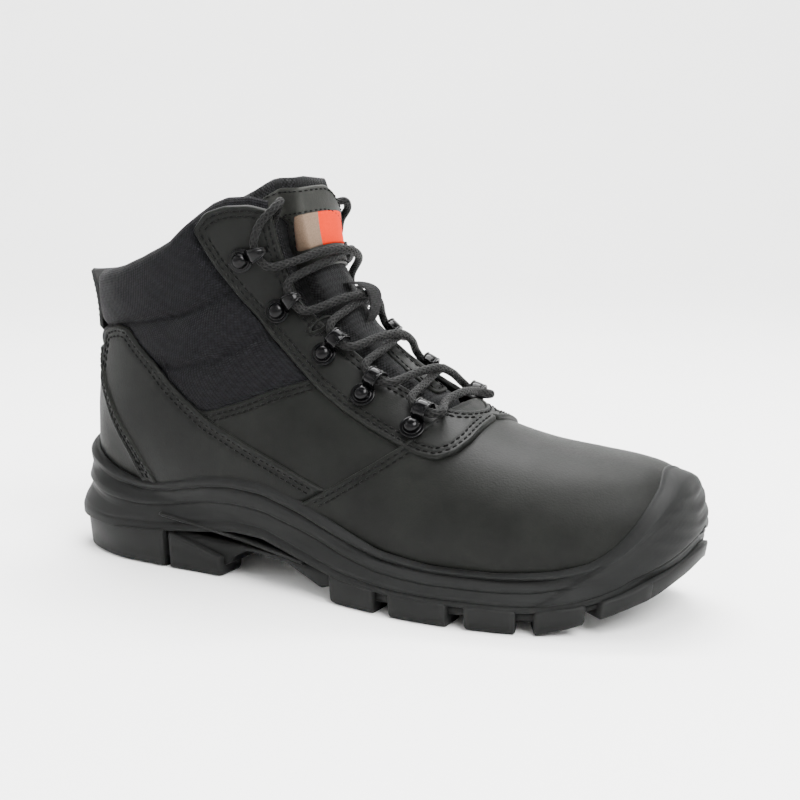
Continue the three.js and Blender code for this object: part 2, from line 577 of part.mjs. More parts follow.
function makeRings() {
  const archPath = new THREE.CatmullRomCurve3([[4.5, 2.9], [4.6, 5.6], [6.2, 7.9], [9.4, 8.4], [11.8, 6.7],
    [12.5, 4.2], [12.5, 2.7]].map(([u, n]) => new THREE.Vector3(u, 0, n)));
  const section = new THREE.Shape();
  section.absellipse(0, 0, 1.9, 0.95, 0, 2 * Math.PI);
  const archOutline = section.getPoints(6).slice(0, 6);
  const arch = new THREE.ExtrudeGeometry(new THREE.Shape(archOutline), { steps: 7, extrudePath: archPath });
  const { radius, thickness, height, eye } = RING_PLATE;
  const disc = (r, depth, sides) => solidOf(
    new THREE.CylinderGeometry(r, r, depth, sides).rotateX(Math.PI / 2).translate(0, 0, height),
  );
  const ring = disc(radius, thickness, 10).add(solidOf(arch)).subtract(disc(eye, 4, 8));
  const dome = [[0, 2.3], [1.5, 2.3], [1.5, 3.75], [3.3, 3.75], [3.2, 5.2], [2.0, 6.6], [0, 7]]
    .map(([r, h]) => new THREE.Vector2(r, h));
  const rivet = new THREE.LatheGeometry(dome, 8).rotateX(Math.PI / 2);
  for (let row = 0; row < RING_PLACES.length; row++) {
    for (const [letter, side] of [['L', 1], ['M', -1]]) {
      const frame = ringFrame(row, side);
      const axisV = new THREE.Vector3().crossVectors(frame.n, frame.u);
      const place = new THREE.Matrix4().makeBasis(frame.u, axisV, frame.n).setPosition(frame.origin);
      add(`lace_ring_${letter}${row + 1}`, geometryOf(ring).applyMatrix4(place), FINISH.hardware);
      add(`ring_rivet_${letter}${row + 1}`, geometryOf(solidOf(rivet)).applyMatrix4(place), FINISH.hardware);
    }
  }
}

// ---- Lace: one cord from inside the outer side, down through the rings, across, and up again ----

function ringPass(row, side, upward) {
  const frame = ringFrame(row, side);
  const points = [[10.8, -7.4, 1.4], [EYE, -3.4, 0], [EYE, 3.4, 0], [10.8, 7.4, 1.4]]
    .map(([u, w, lift]) => onRing(frame, u, w, EYE_HEIGHT + lift));
  return upward ? points : points.reverse();
}

// From the ring of one row and side to the next row's ring on the other side, or back down.
function crossing(row, side, height, upward) {
  const middle = (RING_PLACES[row][0] + RING_PLACES[row + 1][0]) / 2;
  const points = [-1, 0, 1].map((k) =>
    lastOffset(middle + k * 0.011, -k * side * 0.24, k ? height * 0.6 + SHOULDER * 0.4 : height));
  return upward ? points : points.reverse();
}

function lacePoints() {
  const end = (side) => LACE_END.map(([t, a, h]) => lastOffset(t, a * side, h));
  const points = [...end(1).reverse()];
  const rows = RING_PLACES.length;
  for (let row = rows - 1; row >= 0; row--) {
    const side = (rows - 1 - row) % 2 === 0 ? 1 : -1;
    points.push(...ringPass(row, side, false));
    if (row > 0) points.push(...crossing(row - 1, -side, row % 2 ? UNDER : OVER, false));
  }
  const low = RING_PLACES[0][0] - 0.012;
  points.push(...[1, 0, -1].map((k) => lastOffset(low, k * 0.3, k ? SHOULDER : 4)));
  for (let row = 0; row < rows; row++) {
    const side = (rows - 1 - row) % 2 === 0 ? -1 : 1;
    points.push(...ringPass(row, side, true));
    if (row + 1 < rows) points.push(...crossing(row, side, row % 2 ? UNDER : OVER, true));
  }
  points.push(...end(-1));
  return points;
}

// A curve whose even steps fall on its own points, so that the tube is finest where it turns.
class PointwiseCurve extends THREE.CatmullRomCurve3 {
  getUtoTmapping(u) {
    return u;
  }
}

function makeLace() {
  const points = lacePoints();
  const radius = CORD / 2;
  const round = Array.from({ length: CORD_SIDES }, (_, i) => new THREE.Vector2(
    radius * Math.cos((i / CORD_SIDES) * 2 * Math.PI), radius * Math.sin((i / CORD_SIDES) * 2 * Math.PI),
  ));
  const tube = (route, width = 1) => new THREE.ExtrudeGeometry(
    new THREE.Shape(round.map((p) => p.clone().multiplyScalar(width))),
    { steps: route.length - 1, extrudePath: new PointwiseCurve(route, false, 'centripetal') });
  add('lace', tube(points), FINISH.cord);
  for (const [name, tip, before] of [['aglet_L', points[0], points[1]],
    ['aglet_M', points.at(-1), points.at(-2)]]) {
    const along = tip.clone().sub(before).normalize();
    const route = [0, 1].map((k) => tip.clone().addScaledVector(along, GAP + k * AGLET));
    add(name, tube(route, AGLET_WIDTH), FINISH.hardware);
  }
}

makeSole();
makeInsole();
makeInserts();
makePanels();
makeOverlays();
makeLining();
makeTongue();
makePullTab();
makeRings();
makeLace();

export default boot;
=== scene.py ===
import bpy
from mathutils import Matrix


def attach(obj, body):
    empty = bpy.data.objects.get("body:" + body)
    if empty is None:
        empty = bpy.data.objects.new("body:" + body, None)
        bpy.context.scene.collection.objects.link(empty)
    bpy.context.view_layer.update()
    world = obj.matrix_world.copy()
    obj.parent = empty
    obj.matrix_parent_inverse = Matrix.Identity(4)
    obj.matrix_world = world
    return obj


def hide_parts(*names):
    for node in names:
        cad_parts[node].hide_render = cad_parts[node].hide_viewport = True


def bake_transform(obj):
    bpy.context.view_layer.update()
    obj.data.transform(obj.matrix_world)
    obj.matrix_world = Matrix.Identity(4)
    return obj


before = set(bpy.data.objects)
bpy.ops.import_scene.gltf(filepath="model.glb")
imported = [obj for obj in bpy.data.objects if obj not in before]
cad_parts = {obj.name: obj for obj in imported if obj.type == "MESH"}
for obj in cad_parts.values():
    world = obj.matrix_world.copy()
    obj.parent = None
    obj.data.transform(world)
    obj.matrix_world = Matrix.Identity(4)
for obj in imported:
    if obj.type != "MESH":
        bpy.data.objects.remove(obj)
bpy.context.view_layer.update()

import math

import bpy
import numpy as np
from mathutils import Vector
from mathutils.bvhtree import BVHTree
from mathutils.geometry import delaunay_2d_cdt
from mathutils.kdtree import KDTree

# Shapes are worked out in millimetres from the heel; metres() moves them into the frame.
ORIGIN = np.array([156.2, -2.6, 0.0])
PI = math.pi


def metres(points):
    return (np.asarray(points, float) - ORIGIN) * 0.001


# ---- Camera: turned this many degrees from the outer side towards the toe ----
AZIMUTH, DISTANCE, RISE, AIM = 27.6, 560.0, 90.2, (172.7, 0.6, 79.8)
camera = bpy.data.objects.new("camera", bpy.data.cameras.new("camera"))
camera.data.sensor_width = 36
camera.data.lens = 57.6
camera.data.clip_start = 0.01
azimuth = math.radians(AZIMUTH)
offset = Vector((math.sin(azimuth) * DISTANCE, -math.cos(azimuth) * DISTANCE, RISE)) * 0.001
camera.location = Vector(metres(AIM)) + offset
camera.rotation_euler = (-offset).to_track_quat("-Z", "Y").to_euler()
bpy.context.scene.collection.objects.link(camera)
bpy.context.scene.camera = camera

# ---- The last: every layer of the upper follows this surface ----
# ridge x, z; sole or back x, z; half width outer, inner; height share of the widest point;
# roundness above and below it; sideways shift
STATIONS = np.array([
    [304.5, 36, 304.5, 36, 0, 0, 0.62, 2.0, 2.6, 6],
    [303.5, 46, 302, 25, 13, 13, 0.64, 2.1, 2.8, 6],
    [299.5, 54.5, 296, 20, 25, 23, 0.67, 2.2, 3.0, 6],
    [291, 60.5, 286, 18, 34.5, 31, 0.7, 2.2, 3.2, 5.5],
    [279, 63.5, 273, 16.5, 41.5, 37.5, 0.72, 2.2, 3.4, 4.5],
    [262, 65.5, 255, 15.5, 47, 43, 0.72, 2.2, 3.5, 3],
    [240, 68.5, 230, 15, 50, 47, 0.71, 2.15, 3.5, 1],
    [219, 74.5, 203, 15, 50, 47, 0.72, 2.1, 3.5, 0],
    [201, 83, 176, 16, 47, 44, 0.72, 2.1, 3.4, -0.5],
    [186, 92, 148, 17, 44, 40.5, 0.71, 2.1, 3.2, -1],
    [173, 101.5, 118, 19, 41.5, 37.5, 0.69, 2.1, 3.0, -1],
    [161, 112.5, 84, 22, 40, 35.5, 0.66, 2.15, 2.9, -0.5],
    [152, 123, 46, 26, 38.5, 35, 0.62, 2.2, 2.8, 0],
    [146, 133, 18, 38, 37, 34.5, 0.58, 2.2, 2.6, 0],
    [142.5, 142, 13.5, 62, 37, 36, 0.54, 2.2, 2.4, 0],
    [140, 151, 15.5, 88, 38, 37.5, 0.51, 2.2, 2.25, 0],
    [138.5, 160, 19, 112, 39, 38.5, 0.5, 2.2, 2.2, 0],
    [138, 169, 20, 132, 39.5, 39, 0.49, 2.2, 2.2, 0],
    [139, 182, 20, 152, 40, 39.5, 0.48, 2.2, 2.2, 0],
])
# throat: place, half width
THROAT = np.array([[0.379, 0.6], [0.386, 8], [0.402, 13], [0.43, 16.3], [0.5, 17.5], [0.6, 18.5],
                   [0.7, 20], [0.8, 22], [0.88, 25], [0.95, 27.5], [1, 29]])
LAST_ROW = len(STATIONS) - 1
UPPER_DEEP = 4.3
PLACE_LONG, ANGLE_LONG = 380, 38  # rough millimetres for one unit of place and for one radian


def station_places():
    ridge = np.hypot(*(np.diff(STATIONS[:, 0:2], axis=0).T))
    middle = np.hypot(*(np.diff(STATIONS[:, 0:2] + STATIONS[:, 2:4], axis=0).T)) / 2
    places = np.concatenate([[0], np.cumsum((ridge + middle) / 2)])
    return places / places[-1]


PLACES = station_places()
LOWER = np.maximum(np.arange(LAST_ROW + 1) - 1, 0)
UPPER = np.minimum(np.arange(LAST_ROW + 1) + 1, LAST_ROW)
SLOPES = (STATIONS[UPPER] - STATIONS[LOWER]) / (PLACES[UPPER] - PLACES[LOWER])[:, None]


def station_at(t):
    t = np.clip(np.asarray(t, float), 0, 1)
    i = np.clip(np.searchsorted(PLACES, t, side="right") - 1, 0, LAST_ROW - 1)
    span = (PLACES[i + 1] - PLACES[i])[..., None]
    u = (t - PLACES[i])[..., None] / span
    return (STATIONS[i] * (2 * u ** 3 - 3 * u ** 2 + 1) + SLOPES[i] * span * (u ** 3 - 2 * u ** 2 + u)
            + STATIONS[i + 1] * (3 * u ** 2 - 2 * u ** 3) + SLOPES[i + 1] * span * (u ** 3 - u ** 2))


def last(t, a):
    """Point on the last: t from the toe tip (0) to above the collar (1); a is 0 on the ridge, pi at
    the sole or back, positive on the outer side."""
    t, a = np.broadcast_arrays(np.asarray(t, float), np.asarray(a, float))
    rx, rz, bx, bz, outer, inner, share, above, below, shift = np.moveaxis(station_at(t), -1, 0)
    turn = np.arctan2(np.sin(a), np.cos(a))
    upper = np.abs(turn) <= PI / 2
    power = 2 / np.where(upper, above, below)
    c = np.abs(np.cos(turn)) ** power
    along = np.where(upper, share * (1 - c), share + (1 - share) * c)
    side = np.where(turn > 0, -outer, inner) * np.abs(np.sin(turn)) ** power
    return np.stack([rx + along * (bx - rx), side + shift, rz + along * (bz - rz)], -1)


def unit(v):
    return v / np.maximum(np.linalg.norm(v, axis=-1, keepdims=True), 1e-9)


def normal(t, a):
    t = np.maximum(np.asarray(t, float), 0.004)
    along = last(np.minimum(t + 0.004, 1), a) - last(t - 0.004, a)
    around = last(t, np.asarray(a) + 0.03) - last(t, np.asarray(a) - 0.03)
    return unit(np.cross(along, around))


def lift(t, a, height):
    return last(t, a) + normal(t, a) * np.asarray(height, float)[..., None]


def smooth(low, high, x):
    u = np.clip((np.asarray(x, float) - low) / (high - low), 0, 1)
    return u * u * (3 - 2 * u)


def bell(x, width):
    return np.exp(-(x / width) ** 2)


def read(table, x):
    """A table's second column at x of its first."""
    table = np.asarray(table, float)
    return np.interp(x, table[:, 0], table[:, 1])


def full_turn(count):
    return np.linspace(0, 2 * PI, count, endpoint=False)


def rounded(x, power):
    return np.sign(x) * np.abs(x) ** power


def rolled(depth, radius, least=0):
    """Share of full height this far in from a quarter-round edge."""
    return np.sqrt(np.maximum(least, 1 - (1 - np.minimum(depth / radius, 1)) ** 2))


def throat_angle(t):
    """Angle of the throat's edge on the outer side; the inner side mirrors it."""
    outer, above = station_at(t)[..., 4], station_at(t)[..., 7]
    return np.arcsin(np.minimum(1, (read(THROAT, t) / outer) ** (above / 2)))


def pad_depth(t, a):
    return 4.6 * smooth(58, 88, last(t, a)[..., 2]) * smooth(0.8, 1.25, np.abs(a))


def lining_inner(t, a):
    return -(UPPER_DEEP + pad_depth(t, a)) - 1.0


# ---- Lace route: the CAD's, a little lower because the cord is thinner ----
RING_PLACES = [[0.435, 0.7], [0.538, 0.7], [0.642, 0.67], [0.765, 0.76], [0.876, 1.0]]
EYE, EYE_HEIGHT, RING_LIFT = 8.4, 4.8, 0.5
UNDER, OVER, SHOULDER, TUCKED = 2.5, 6.4, 4.3, -8.4
LACE_END = [[0.926, 0.82, 5.6], [0.944, 0.72, 6.4], [0.953, 0.655, 3.6], [0.947, 0.645, -1.5],
            [0.93, 0.66, -6.5], [0.905, 0.71, TUCKED], [0.87, 0.73, TUCKED], [0.84, 0.72, TUCKED]]
CORD = 3.7
CORD_LENGTH = 0.801


def ring_frame(row, side):
    """Axes at a ring: u towards the throat, w up along it, n out of the leather."""
    t, angle = RING_PLACES[row]
    a = angle * side
    n = normal(t, a)
    u = last(t, a - side * 0.05) - last(t, a + side * 0.05)
    u = unit(u - n * np.dot(u, n))
    return lift(t, a, np.array(RING_LIFT)), u, np.cross(n, u) * side, n


def on_ring(ring, u, w, n):
    return ring[0] + ring[1] * u + ring[2] * w + ring[3] * n


def ring_pass(row, side, upward):
    ring = ring_frame(row, side)
    points = [on_ring(ring, u, w, EYE_HEIGHT + rise)
              for u, w, rise in ((10.8, -7.2, 0.3), (EYE, -3.4, 0), (EYE, 3.4, 0), (10.8, 7.2, 0.3))]
    return points if upward else points[::-1]


def crossing(row, side, height, upward):
    middle = (RING_PLACES[row][0] + RING_PLACES[row + 1][0]) / 2
    points = [lift(middle + k * 0.011, -k * side * 0.24,
                   np.array(height * 0.6 + SHOULDER * 0.4 if k else height)) for k in (-1, 0, 1)]
    return points if upward else points[::-1]


def lace_points():
    def end(side):
        return [lift(t, a * side, np.array(h)) for t, a, h in LACE_END]
    points = end(1)[::-1]
    rows = len(RING_PLACES)
    for row in reversed(range(rows)):
        side = 1 if (rows - 1 - row) % 2 == 0 else -1
        points += ring_pass(row, side, False)
        if row > 0:
            points += crossing(row - 1, -side, UNDER if row % 2 else OVER, False)
    low = RING_PLACES[0][0] - 0.012
    points += [lift(low, k * 0.3, np.array(SHOULDER if k else 4.0)) for k in (1, 0, -1)]
    for row in range(rows):
        side = -1 if (rows - 1 - row) % 2 == 0 else 1
        points += ring_pass(row, side, True)
        if row + 1 < rows:
            points += crossing(row, side, UNDER if row % 2 else OVER, True)
    return np.array(points + end(-1))


def spline(points, steps):
    """Centripetal curve through the points."""
    p = np.vstack([2 * points[0] - points[1], points, 2 * points[-1] - points[-2]])
    out = []
    for i in range(1, len(p) - 2):
        k = [0.0]
        for j in range(3):
            k.append(k[-1] + max(np.linalg.norm(p[i + j] - p[i + j - 1]), 1e-6) ** 0.5)
        for s in np.linspace(k[1], k[2], steps, endpoint=False):
            a = [((k[j + 1] - s) * p[i + j - 1] + (s - k[j]) * p[i + j]) / (k[j + 1] - k[j]) for j in range(3)]
            b = [((k[j + 2] - s) * a[j] + (s - k[j]) * a[j + 1]) / (k[j + 2] - k[j]) for j in range(2)]
            out.append(((k[2] - s) * b[0] + (s - k[1]) * b[1]) / (k[2] - k[1]))
    out.append(points[-1])
    return np.array(out)


def travelled(path):
    """Length from a path's start to each of its points; a sheet's columns are measured side by side."""
    moves = np.linalg.norm(np.diff(path, axis=0), axis=-1)
    return np.concatenate([np.zeros_like(moves[:1]), np.cumsum(moves, axis=0)])


def resample(path, step, closed=False):
    path = np.vstack([path, path[:1]]) if closed else path
    lengths = travelled(path)
    count = max(2, int(round(lengths[-1] / step)))
    s = np.linspace(0, lengths[-1], count + 1)
    out = np.stack([np.interp(s, lengths, path[:, k]) for k in range(path.shape[1])], -1)
    return out[:-1] if closed else out


LACE_PATH = resample(spline(lace_points(), 10), 1.1)

# ---- Materials ----
class Nodes:
    """Short calls for building one material's nodes."""

    def __init__(self, name, **sockets):
        self.material = bpy.data.materials.new(name)
        self.material.use_nodes = True
        self.tree = self.material.node_tree
        self.shader = self.tree.nodes["Principled BSDF"]
        for key, value in sockets.items():
            self.shader.inputs[key.replace("_", " ")].default_value = value

    def put(self, kind, inputs=None, **settings):
        node = self.tree.nodes.new("ShaderNode" + kind)
        for key, value in settings.items():
            setattr(node, key, value)
        for key, value in (inputs or {}).items():
            if isinstance(value, bpy.types.NodeSocket):
                self.tree.links.new(value, node.inputs[key])
            else:
                node.inputs[key].default_value = value
        return node

    def math(self, operation, a, b=0.0, c=0.0):
        return self.put("Math", {0: a, 1: b, 2: c}, operation=operation).outputs[0]

    def times(self, a, b):
        return self.math("MULTIPLY", a, b)

    def plus(self, a, b):
        return self.math("ADD", a, b)

    def noise(self, scale, detail, rough=0.55):
        inputs = {"Scale": scale, "Detail": detail, "Roughness": rough, "Vector": self.where()}
        return self.put("TexNoise", inputs).outputs["Fac"]

    def where(self):
        if not hasattr(self, "coordinates"):
            self.coordinates = self.put("TexCoord")
        return self.coordinates.outputs["Object"]

    def uv(self):
        node = self.put("UVMap", uv_map="UVMap")
        split = self.put("SeparateXYZ", {0: node.outputs[0]})
        return split.outputs[0], split.outputs[1]

    def span(self, value, low, high, to_low=0.0, to_high=1.0):
        return self.put("MapRange", {0: value, 1: low, 2: high, 3: to_low, 4: to_high}).outputs[0]

    def mix(self, factor, a, b):
        node = self.put("Mix", data_type="RGBA")
        for socket, value in ((node.inputs[0], factor), (node.inputs[6], a), (node.inputs[7], b)):
            if isinstance(value, bpy.types.NodeSocket):
                self.tree.links.new(value, socket)
            else:
                socket.default_value = value if not isinstance(value, tuple) else (*value, 1)
        return node.outputs[2]

    def bump(self, height, strength, distance, under=None):
        inputs = {"Height": height, "Strength": strength, "Distance": distance}
        if under:
            inputs["Normal"] = under
        return self.put("Bump", inputs).outputs[0]

    def done(self, color, roughness=None, bump=None):
        for name, value in (("Base Color", color), ("Roughness", roughness), ("Normal", bump)):
            if value is not None:
                self.tree.links.new(value, self.shader.inputs[name])
        return self.material

    def worn_edges(self, low=0.52, high=0.6):
        return self.span(self.put("NewGeometry").outputs["Pointiness"], low, high)


def leather(name, dark, light, gloss):
    """Smooth leather: fine grain, shallow creases and paler worn edges."""
    n = Nodes(name, Specular_IOR_Level=0.085)
    cells = n.put("TexVoronoi", {"Vector": n.where(), "Scale": 1250.0}, feature="SMOOTH_F1").outputs[0]
    fine = n.noise(2200, 3)
    blotch = n.noise(38, 5, 0.6)
    creases = n.noise(160, 6, 0.65)
    tone = n.span(blotch, 0.35, 0.68)
    color = n.mix(tone, dark, light)
    wear = n.times(n.worn_edges(), n.span(creases, 0.4, 0.6, 0.2, 0.8))
    color = n.mix(wear, color, tuple(min(1, 1.9 * c) for c in light))
    height = n.plus(n.times(cells, 0.8), n.times(fine, 0.4))
    bump = n.bump(creases, 0.14, 0.0006)
    bump = n.bump(height, 0.32, 0.00022, bump)
    rough = n.span(n.plus(blotch, n.times(cells, 0.3)), 0.3, 0.9, gloss - 0.07, gloss + 0.12)
    return n.done(color, rough, bump)


def woven(name, dark, light, pitch, roughness, depth=0.00035, turned=False):
    """Woven textile whose threads follow the piece's own millimetre map."""
    n = Nodes(name, Specular_IOR_Level=0.08, Sheen_Weight=0.02, Sheen_Roughness=0.5)
    u, v = n.uv()
    wobble = n.span(n.noise(120, 3), 0, 1, -0.18, 0.18)
    u = n.plus(u, wobble)
    if turned:
        u, v = n.plus(u, v), n.math("SUBTRACT", u, v)
    k = 2 * PI / pitch
    warp = n.math("SINE", n.times(u, k / 2))
    weft = n.math("SINE", n.times(v, k / 2))
    cell = n.math("ABSOLUTE", n.times(warp, weft))
    over = n.times(n.math("SINE", n.times(u, k / 4)), n.math("SINE", n.times(v, k / 4)))
    height = n.plus(n.math("POWER", cell, 0.6), n.times(over, 0.25))
    fuzz = n.noise(2600, 2)
    tone = n.times(n.span(height, 0.1, 1.1), n.span(fuzz, 0.2, 0.8, 0.7, 1.2))
    color = n.mix(tone, dark, light)
    bump = n.bump(n.plus(height, n.times(fuzz, 0.25)), 0.8, depth)
    return n.done(color, n.span(fuzz, 0.2, 0.8, roughness - 0.08, roughness + 0.08), bump)


def rubber(name, dark, light, roughness):
    """Moulded rubber or polyurethane with a faint bloom and paler edges."""
    n = Nodes(name, Specular_IOR_Level=0.08)
    blotch = n.noise(30, 5, 0.6)
    fine = n.noise(1500, 3)
    color = n.mix(n.span(blotch, 0.3, 0.7), dark, light)
    color = n.mix(n.times(n.worn_edges(0.515, 0.58), 0.5), color, tuple(1.8 * c for c in light))
    bump = n.bump(fine, 0.25, 0.0002)
    rough = n.span(n.plus(blotch, n.times(fine, 0.3)), 0.3, 1.0, roughness - 0.08, roughness + 0.1)
    return n.done(color, rough, bump)


def plain(name, dark, light, roughness, scale, metallic=0.0, depth=0.0001, coat=0.0, level=0.25):
    """One colour broken by a fine grain."""
    n = Nodes(name, Metallic=metallic, Specular_IOR_Level=level, Coat_Weight=coat, Coat_Roughness=0.08)
    grain = n.noise(scale, 4)
    color = n.mix(n.span(grain, 0.3, 0.7), dark, light)
    return n.done(color, n.span(grain, 0.3, 0.7, roughness * 0.85, roughness * 1.2), n.bump(grain, 0.3, depth))


def braided(name, dark, light, strands, pitch):
    """Round braid: two families of strands, mapped by millimetres along and turns around."""
    n = Nodes(name, Specular_IOR_Level=0.1, Sheen_Weight=0.02, Sheen_Roughness=0.45)
    u, v = n.uv()
    along = n.times(u, 2 * PI / pitch)
    around = n.times(v, 2 * PI * strands)
    left = n.math("SINE", n.plus(along, around))
    right = n.math("SINE", n.math("SUBTRACT", along, around))
    height = n.math("MAXIMUM", left, right)
    fuzz = n.noise(3000, 2)
    tone = n.times(n.span(height, -0.2, 1.0), n.span(fuzz, 0.2, 0.8, 0.75, 1.2))
    bump = n.bump(n.plus(height, n.times(fuzz, 0.3)), 0.7, 0.00028)
    return n.done(n.mix(tone, dark, light), n.span(fuzz, 0.2, 0.8, 0.6, 0.8), bump)


LEATHER = leather("charcoal leather", (0.0032, 0.0034, 0.003), (0.0062, 0.0066, 0.0058), 0.5)
OVERLAY_LEATHER = leather("overlay leather", (0.003, 0.0032, 0.0029), (0.0058, 0.0062, 0.0055), 0.44)
TONGUE_LEATHER = leather("tongue patch leather", (0.012, 0.0124, 0.0112), (0.021, 0.0216, 0.0196), 0.42)
# Stitch thread: partly the thread's own colour, partly painted shade. It is kept darker than the leather so the
# stitch rows read as dark seam holes and valleys. It also colours the painted shade in the eyestay's slits.
THREAD_AND_PAINTED_SHADE = plain("thread", (0.0016, 0.0016, 0.0016), (0.0042, 0.0043, 0.0041), 0.6, 2500, level=0.07)
CORDURA = woven("collar textile", (0.0006, 0.0006, 0.0008), (0.006, 0.006, 0.0074), 1.25, 0.8)
TONGUE_CLOTH = woven("tongue textile", (0.002, 0.002, 0.0022), (0.019, 0.0195, 0.02), 1.5, 0.8, turned=True)
LINING = woven("lining mesh", (0.003, 0.003, 0.003), (0.025, 0.025, 0.026), 2.2, 0.9, 0.0005)
WEBBING = woven("webbing", (0.002, 0.002, 0.002), (0.011, 0.011, 0.0115), 0.9, 0.85, 0.0003)
SUEDE = plain("pull tab suede", (0.004, 0.004, 0.004), (0.022, 0.022, 0.022), 0.9, 900, depth=0.0006)
MIDSOLE = rubber("midsole polyurethane", (0.0048, 0.005, 0.0049), (0.0085, 0.0088, 0.0086), 0.56)
OUTSOLE = rubber("outsole rubber", (0.0036, 0.0037, 0.0036), (0.0065, 0.0067, 0.0065), 0.52)
HARDWARE = plain("black coated metal", (0.0008, 0.0008, 0.0009), (0.0018, 0.0018, 0.002), 0.13, 300, 0.0, 0.00003,
                 0.04, 0.09)
BRAID = braided("braided lace", (0.0012, 0.0012, 0.0012), (0.0085, 0.0085, 0.0083), 7, 3.0)
TAUPE = plain("taupe label", (0.1, 0.068, 0.047), (0.14, 0.098, 0.07), 0.75, 1600, level=0.05)
ORANGE = plain("orange label", (0.4, 0.013, 0.0004), (0.5, 0.02, 0.0006), 0.75, 1600, level=0.04)
FELT = plain("footbed felt", (0.02, 0.021, 0.024), (0.06, 0.062, 0.068), 0.9, 700, depth=0.0004)
STEEL = plain("pressed steel", (0.35, 0.35, 0.36), (0.55, 0.56, 0.57), 0.35, 260, 1.0, 0.00005)
BOARD = plain("fibre board", (0.02, 0.02, 0.021), (0.045, 0.045, 0.047), 0.85, 500, depth=0.0003)
TIP = plain("lace tip plastic", (0.008, 0.008, 0.008), (0.016, 0.016, 0.017), 0.3, 300)


# ---- Mesh helpers ----
def piece(name, points, faces, body, materials, replaces, uv, indices=None):
    mesh = bpy.data.meshes.new(name)
    mesh.from_pydata(metres(points).tolist(), [], faces)
    for material in materials:
        mesh.materials.append(material)
    if indices is not None:
        mesh.polygons.foreach_set("material_index", indices)
    layer = mesh.uv_layers.new(name="UVMap")
    corners = np.zeros(len(mesh.loops), int)
    mesh.loops.foreach_get("vertex_index", corners)
    layer.data.foreach_set("uv", np.asarray(uv, np.float32)[corners].ravel())
    mesh.polygons.foreach_set("use_smooth", [True] * len(mesh.polygons))
    mesh.update()
    obj = bpy.data.objects.new(name, mesh)
    bpy.context.scene.collection.objects.link(obj)
    if body:
        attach(obj, body)
    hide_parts(*replaces)
    return obj


def grid_faces(rows, columns, around=False):
    """Quads between rows of points; around also joins each row's last point to its first."""
    return [(i * columns + j, i * columns + (j + 1) % columns, (i + 1) * columns + (j + 1) % columns,
             (i + 1) * columns + j) for i in range(rows - 1) for j in range(columns if around else columns - 1)]


def last_to_first(rows, columns):
    """Quads that join the last ring of points to the first."""
    k = (rows - 1) * columns
    return [(k + j, k + (j + 1) % columns, (j + 1) % columns, j) for j in range(columns)]


def capped(rows, columns):
    """Faces of a run of rings closed by a cap at each end."""
    return grid_faces(rows, columns, True) + [tuple(range(columns))[::-1],
                                              tuple(range((rows - 1) * columns, rows * columns))]


def sheet(faces, count):
    """Faces of a closed sheet: one side, the other side count points further on, and the edges."""
    edges = {(f[k], f[(k + 1) % len(f)]): True for f in faces for k in range(len(f))}
    return (faces + [tuple(k + count for k in f[::-1]) for f in faces]
            + [(b, a, a + count, b + count) for a, b in edges if (b, a) not in edges])


def facing_out(points, faces):
    """Faces turned so that the closed form's volume is positive."""
    p = np.asarray(points)
    volume = 0.0
    for f in faces:
        for k in range(1, len(f) - 1):
            volume += np.dot(p[f[0]], np.cross(p[f[k]], p[f[k + 1]]))
    return faces if volume > 0 else [f[::-1] for f in faces]


def tube(path, section, closed=False, up=None):
    """Rings of a section (k, 2) swept along a path; section may change along it (n, k, 2). up (n, 3) is
    the way the section's second axis points; without it the section follows the path untwisted."""
    tangent = unit(np.roll(path, -1, 0) - np.roll(path, 1, 0) if closed else np.gradient(path, axis=0))
    if up is None:
        side, sides = np.cross(tangent[0], [0.3, 0.5, 0.8]), []
        for along in tangent:
            side = unit(side - along * np.dot(side, along))
            sides.append(side)
        sides = np.array(sides)
    else:
        sides = unit(np.cross(unit(up), tangent))
    section = np.broadcast_to(section, (len(path), *section.shape[-2:]))
    rings = path[:, None] + section[..., :1] * sides[:, None] + section[..., 1:] * np.cross(tangent, sides)[:, None]
    shape = rings.shape[:2]
    return rings.reshape(-1, 3), grid_faces(*shape, True) + last_to_first(*shape) if closed else capped(*shape)


def circle(radius, sides):
    a = full_turn(sides)
    return np.stack([radius * np.cos(a), radius * np.sin(a)], -1)


def merged(parts):
    """Several (points, faces) as one."""
    points, faces, start = [], [], 0
    for p, f in parts:
        points.append(np.asarray(p))
        faces += [tuple(k + start for k in face) for face in f]
        start += len(p)
    return np.vstack(points), faces


# ---- Outlines seen from the side, as x, z points ----
RIM = np.array([[-20, 134.5], [34, 135.5], [50, 138.5], [62, 142.5], [73, 147], [80, 150.5], [86, 156],
                [93, 161.5], [100, 166], [107, 168.5], [117, 169], [126, 166.5], [134, 163], [150, 160]])
TEXTILE_LOW = [[-20, 98], [42, 98], [62, 86], [82, 72], [96, 70], [116, 76], [128, 81], [147, 87],
               [164, 99], [176, 117], [190, 130]]
SOLE_LIP = [[13.5, 54], [26, 47.5], [38, 41.5], [54, 38], [66, 38.5], [80, 41.5], [96, 45.5], [112, 47],
            [129, 46], [148, 41], [169, 32.5], [188, 25], [212, 22], [241, 22], [262, 24.5], [275, 28], [283, 34],
            [289, 42], [292.5, 50], [294, 56], [291, 61]]
LIP_UNDER = [[x, z - 6] for x, z in SOLE_LIP[:16]] + [[288, 30], [295, 40], [298, 48], [299, 58]]
EYESTAY = [[218.5, 78], [220, 73.5], [219.5, 69], [216, 65], [209, 62.5], [199, 64], [178, 72.5], [164, 79],
           [151, 87], [138, 97.5], [125, 109], [112, 124], [101, 139], [92, 154.5], [98, 162], [107, 165],
           [117, 165.5], [125, 163]]
VAMP_SEAM = [[215, 100], [204, 80], [193, 67], [181, 59], [163, 48], [147, 39], [142, 34]]
